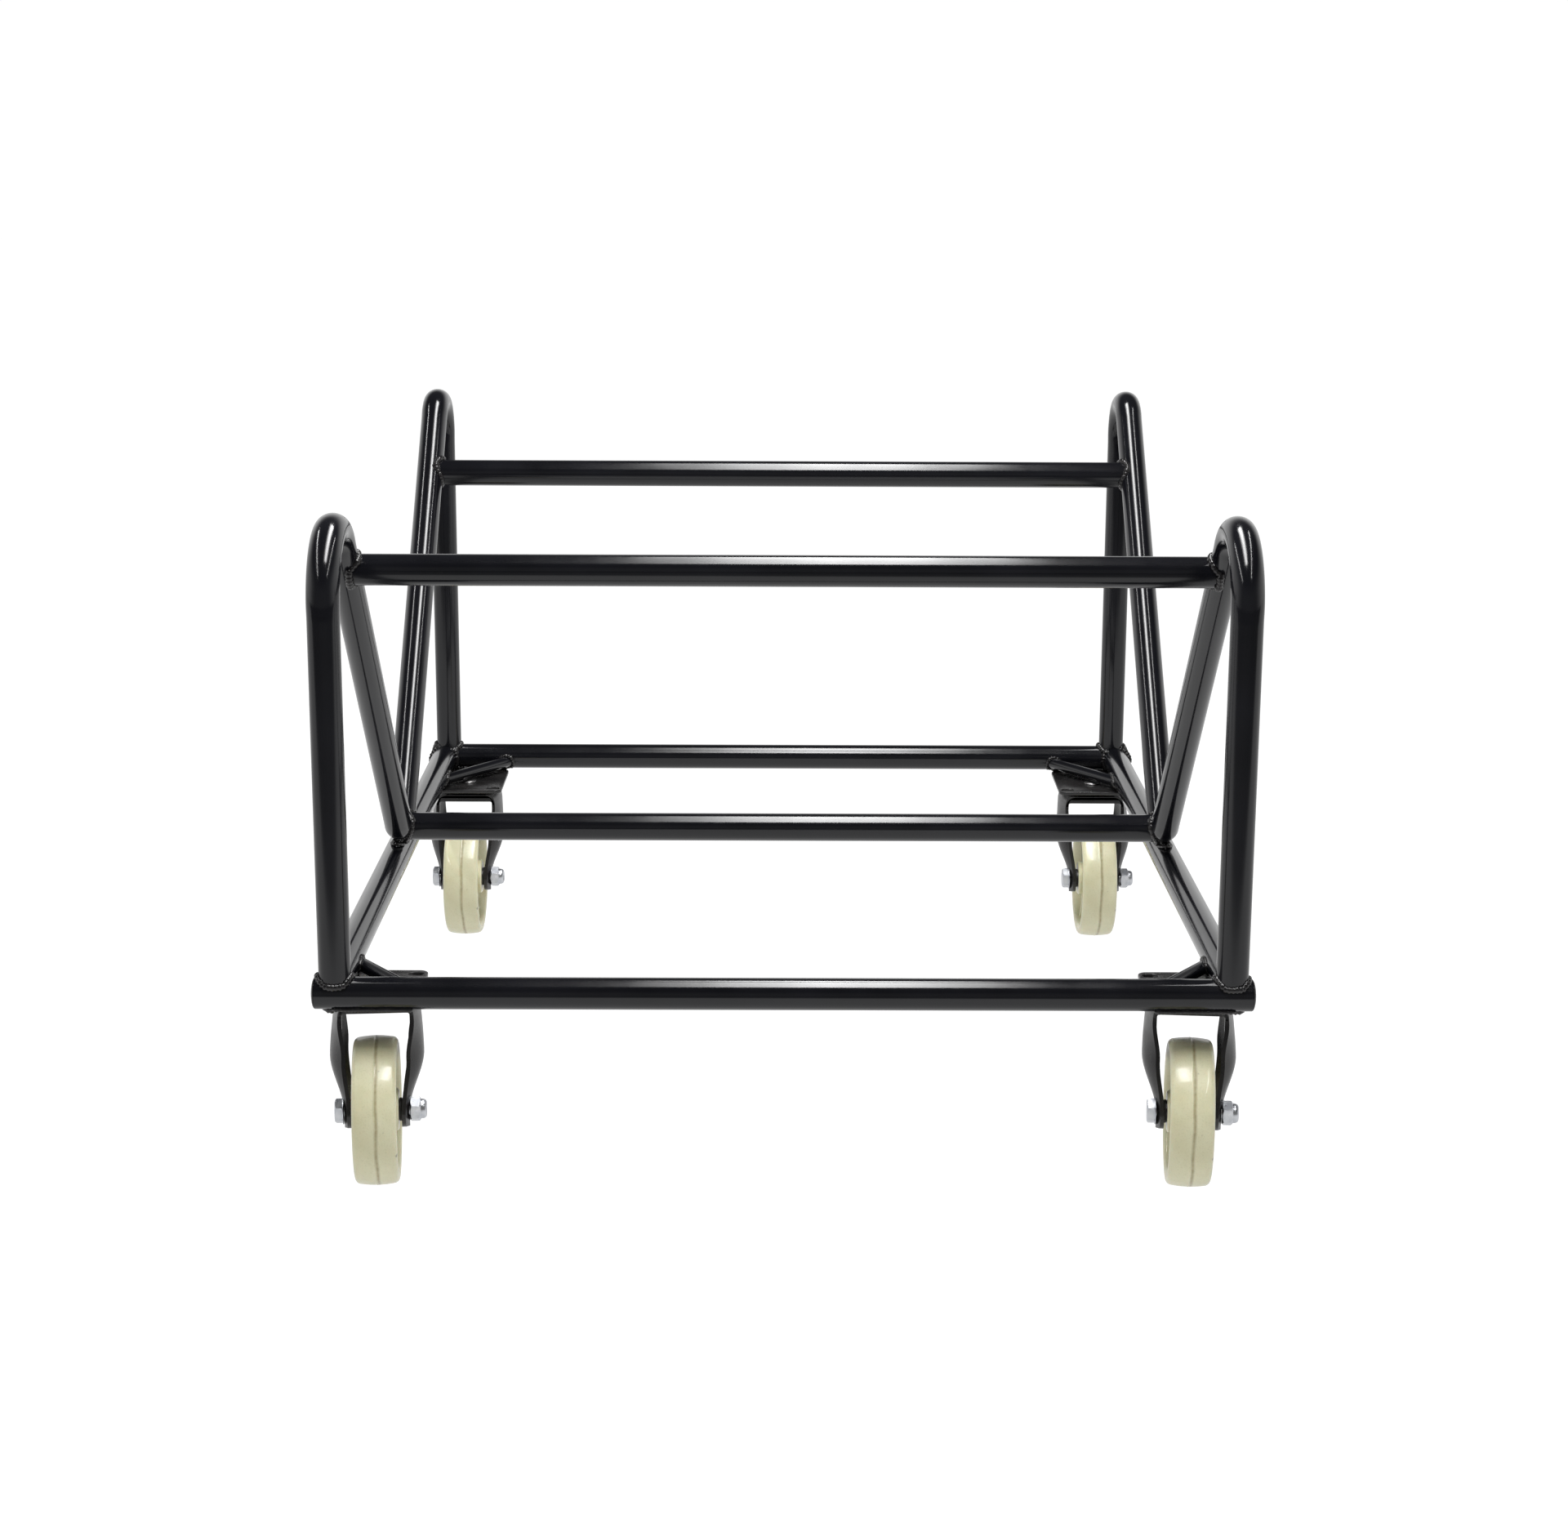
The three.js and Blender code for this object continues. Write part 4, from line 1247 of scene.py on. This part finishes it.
def build_lights():
    for i, (x, width, near, far, radiance) in enumerate(STRIPS):
        y = (near + far) / 2
        strip = f"overhead_strip_{i + 1}"
        area_light(strip, (x, y, STRIP_HEIGHT), (x, y, 0), width, far - near, radiance)
    fill = area_light("front_fill", FILL_PLACE, FILL_AIM, *FILL_SIZE, FILL_RADIANCE)
    fill.visible_glossy = False


def build_world():
    """White at the horizon, dim overhead and towards the front, as in a photo studio."""
    world = bpy.data.worlds.new("studio")
    bpy.context.scene.world = world
    world.use_nodes = True
    tree = world.node_tree
    nodes, links = tree.nodes, tree.links
    background = nodes["Background"]
    direction = nodes.new("ShaderNodeTexCoord").outputs["Generated"]
    split = nodes.new("ShaderNodeSeparateXYZ")
    links.new(direction, split.inputs["Vector"])

    def graded(output, low, high, first, last):
        node = nodes.new("ShaderNodeMapRange")
        node.interpolation_type = "SMOOTHSTEP"
        settings = {"From Min": low, "From Max": high, "To Min": first, "To Max": last}
        for socket, value in settings.items():
            node.inputs[socket].default_value = value
        links.new(output, node.inputs["Value"])
        return node.outputs["Result"]

    low, high = (sin(radians(angle)) for angle in (WHITE_UP_TO, DIM_FROM))
    rising = graded(split.outputs["Z"], low, high, 1.0, 0.0)
    ahead = graded(split.outputs["Y"], *WORLD_AHEAD, DIM_AHEAD, 1.0)
    white = node_sum(tree, "MULTIPLY", rising, ahead)
    scaled = node_sum(tree, "MULTIPLY", white, WORLD_WHITE)
    strength = node_sum(tree, "ADD", scaled, WORLD_LEAST)
    seen = nodes.new("ShaderNodeLightPath").outputs["Is Camera Ray"]
    links.new(node_sum(tree, "MAXIMUM", strength, seen), background.inputs["Strength"])
    background.inputs["Color"].default_value = (1, 1, 1, 1)


CAMERA_PLACE = (-0.01403, -2.70855, 0.90388)
CAMERA_TURNS = (0.2299, 0.0058, 0.0045)  # radians: down, to the right, and about the view
SENSOR_WIDTH = 36.0  # this and the lens are millimetres
LENS = 66.08
FARTHEST_SEEN = 100


def build_camera():
    """The photograph's viewing angle: a long lens in front, looking a little down."""
    pitch, yaw, roll = CAMERA_TURNS
    forward = Vector((sin(yaw) * cos(pitch), cos(yaw) * cos(pitch), -sin(pitch)))
    level = Vector((cos(yaw), -sin(yaw), 0))
    upright = level.cross(forward)
    right = level * cos(roll) + upright * sin(roll)
    up = upright * cos(roll) - level * sin(roll)
    data = bpy.data.cameras.new("camera")
    data.sensor_width = SENSOR_WIDTH
    data.sensor_fit = "HORIZONTAL"
    data.lens = LENS
    data.clip_end = FARTHEST_SEEN
    camera = in_scene("camera", data)
    turn = Matrix((right, up, -forward)).transposed()
    camera.matrix_world = Matrix.Translation(CAMERA_PLACE) @ turn.to_4x4()
    bpy.context.scene.camera = camera


build_tubes()
build_hoops()
build_end_caps()
build_braces()
build_tube_welds()
build_brace_welds()
build_plate_welds()
build_casters()
build_floor()
build_lights()
build_world()
build_camera()
bpy.context.scene.view_settings.view_transform = "Standard"
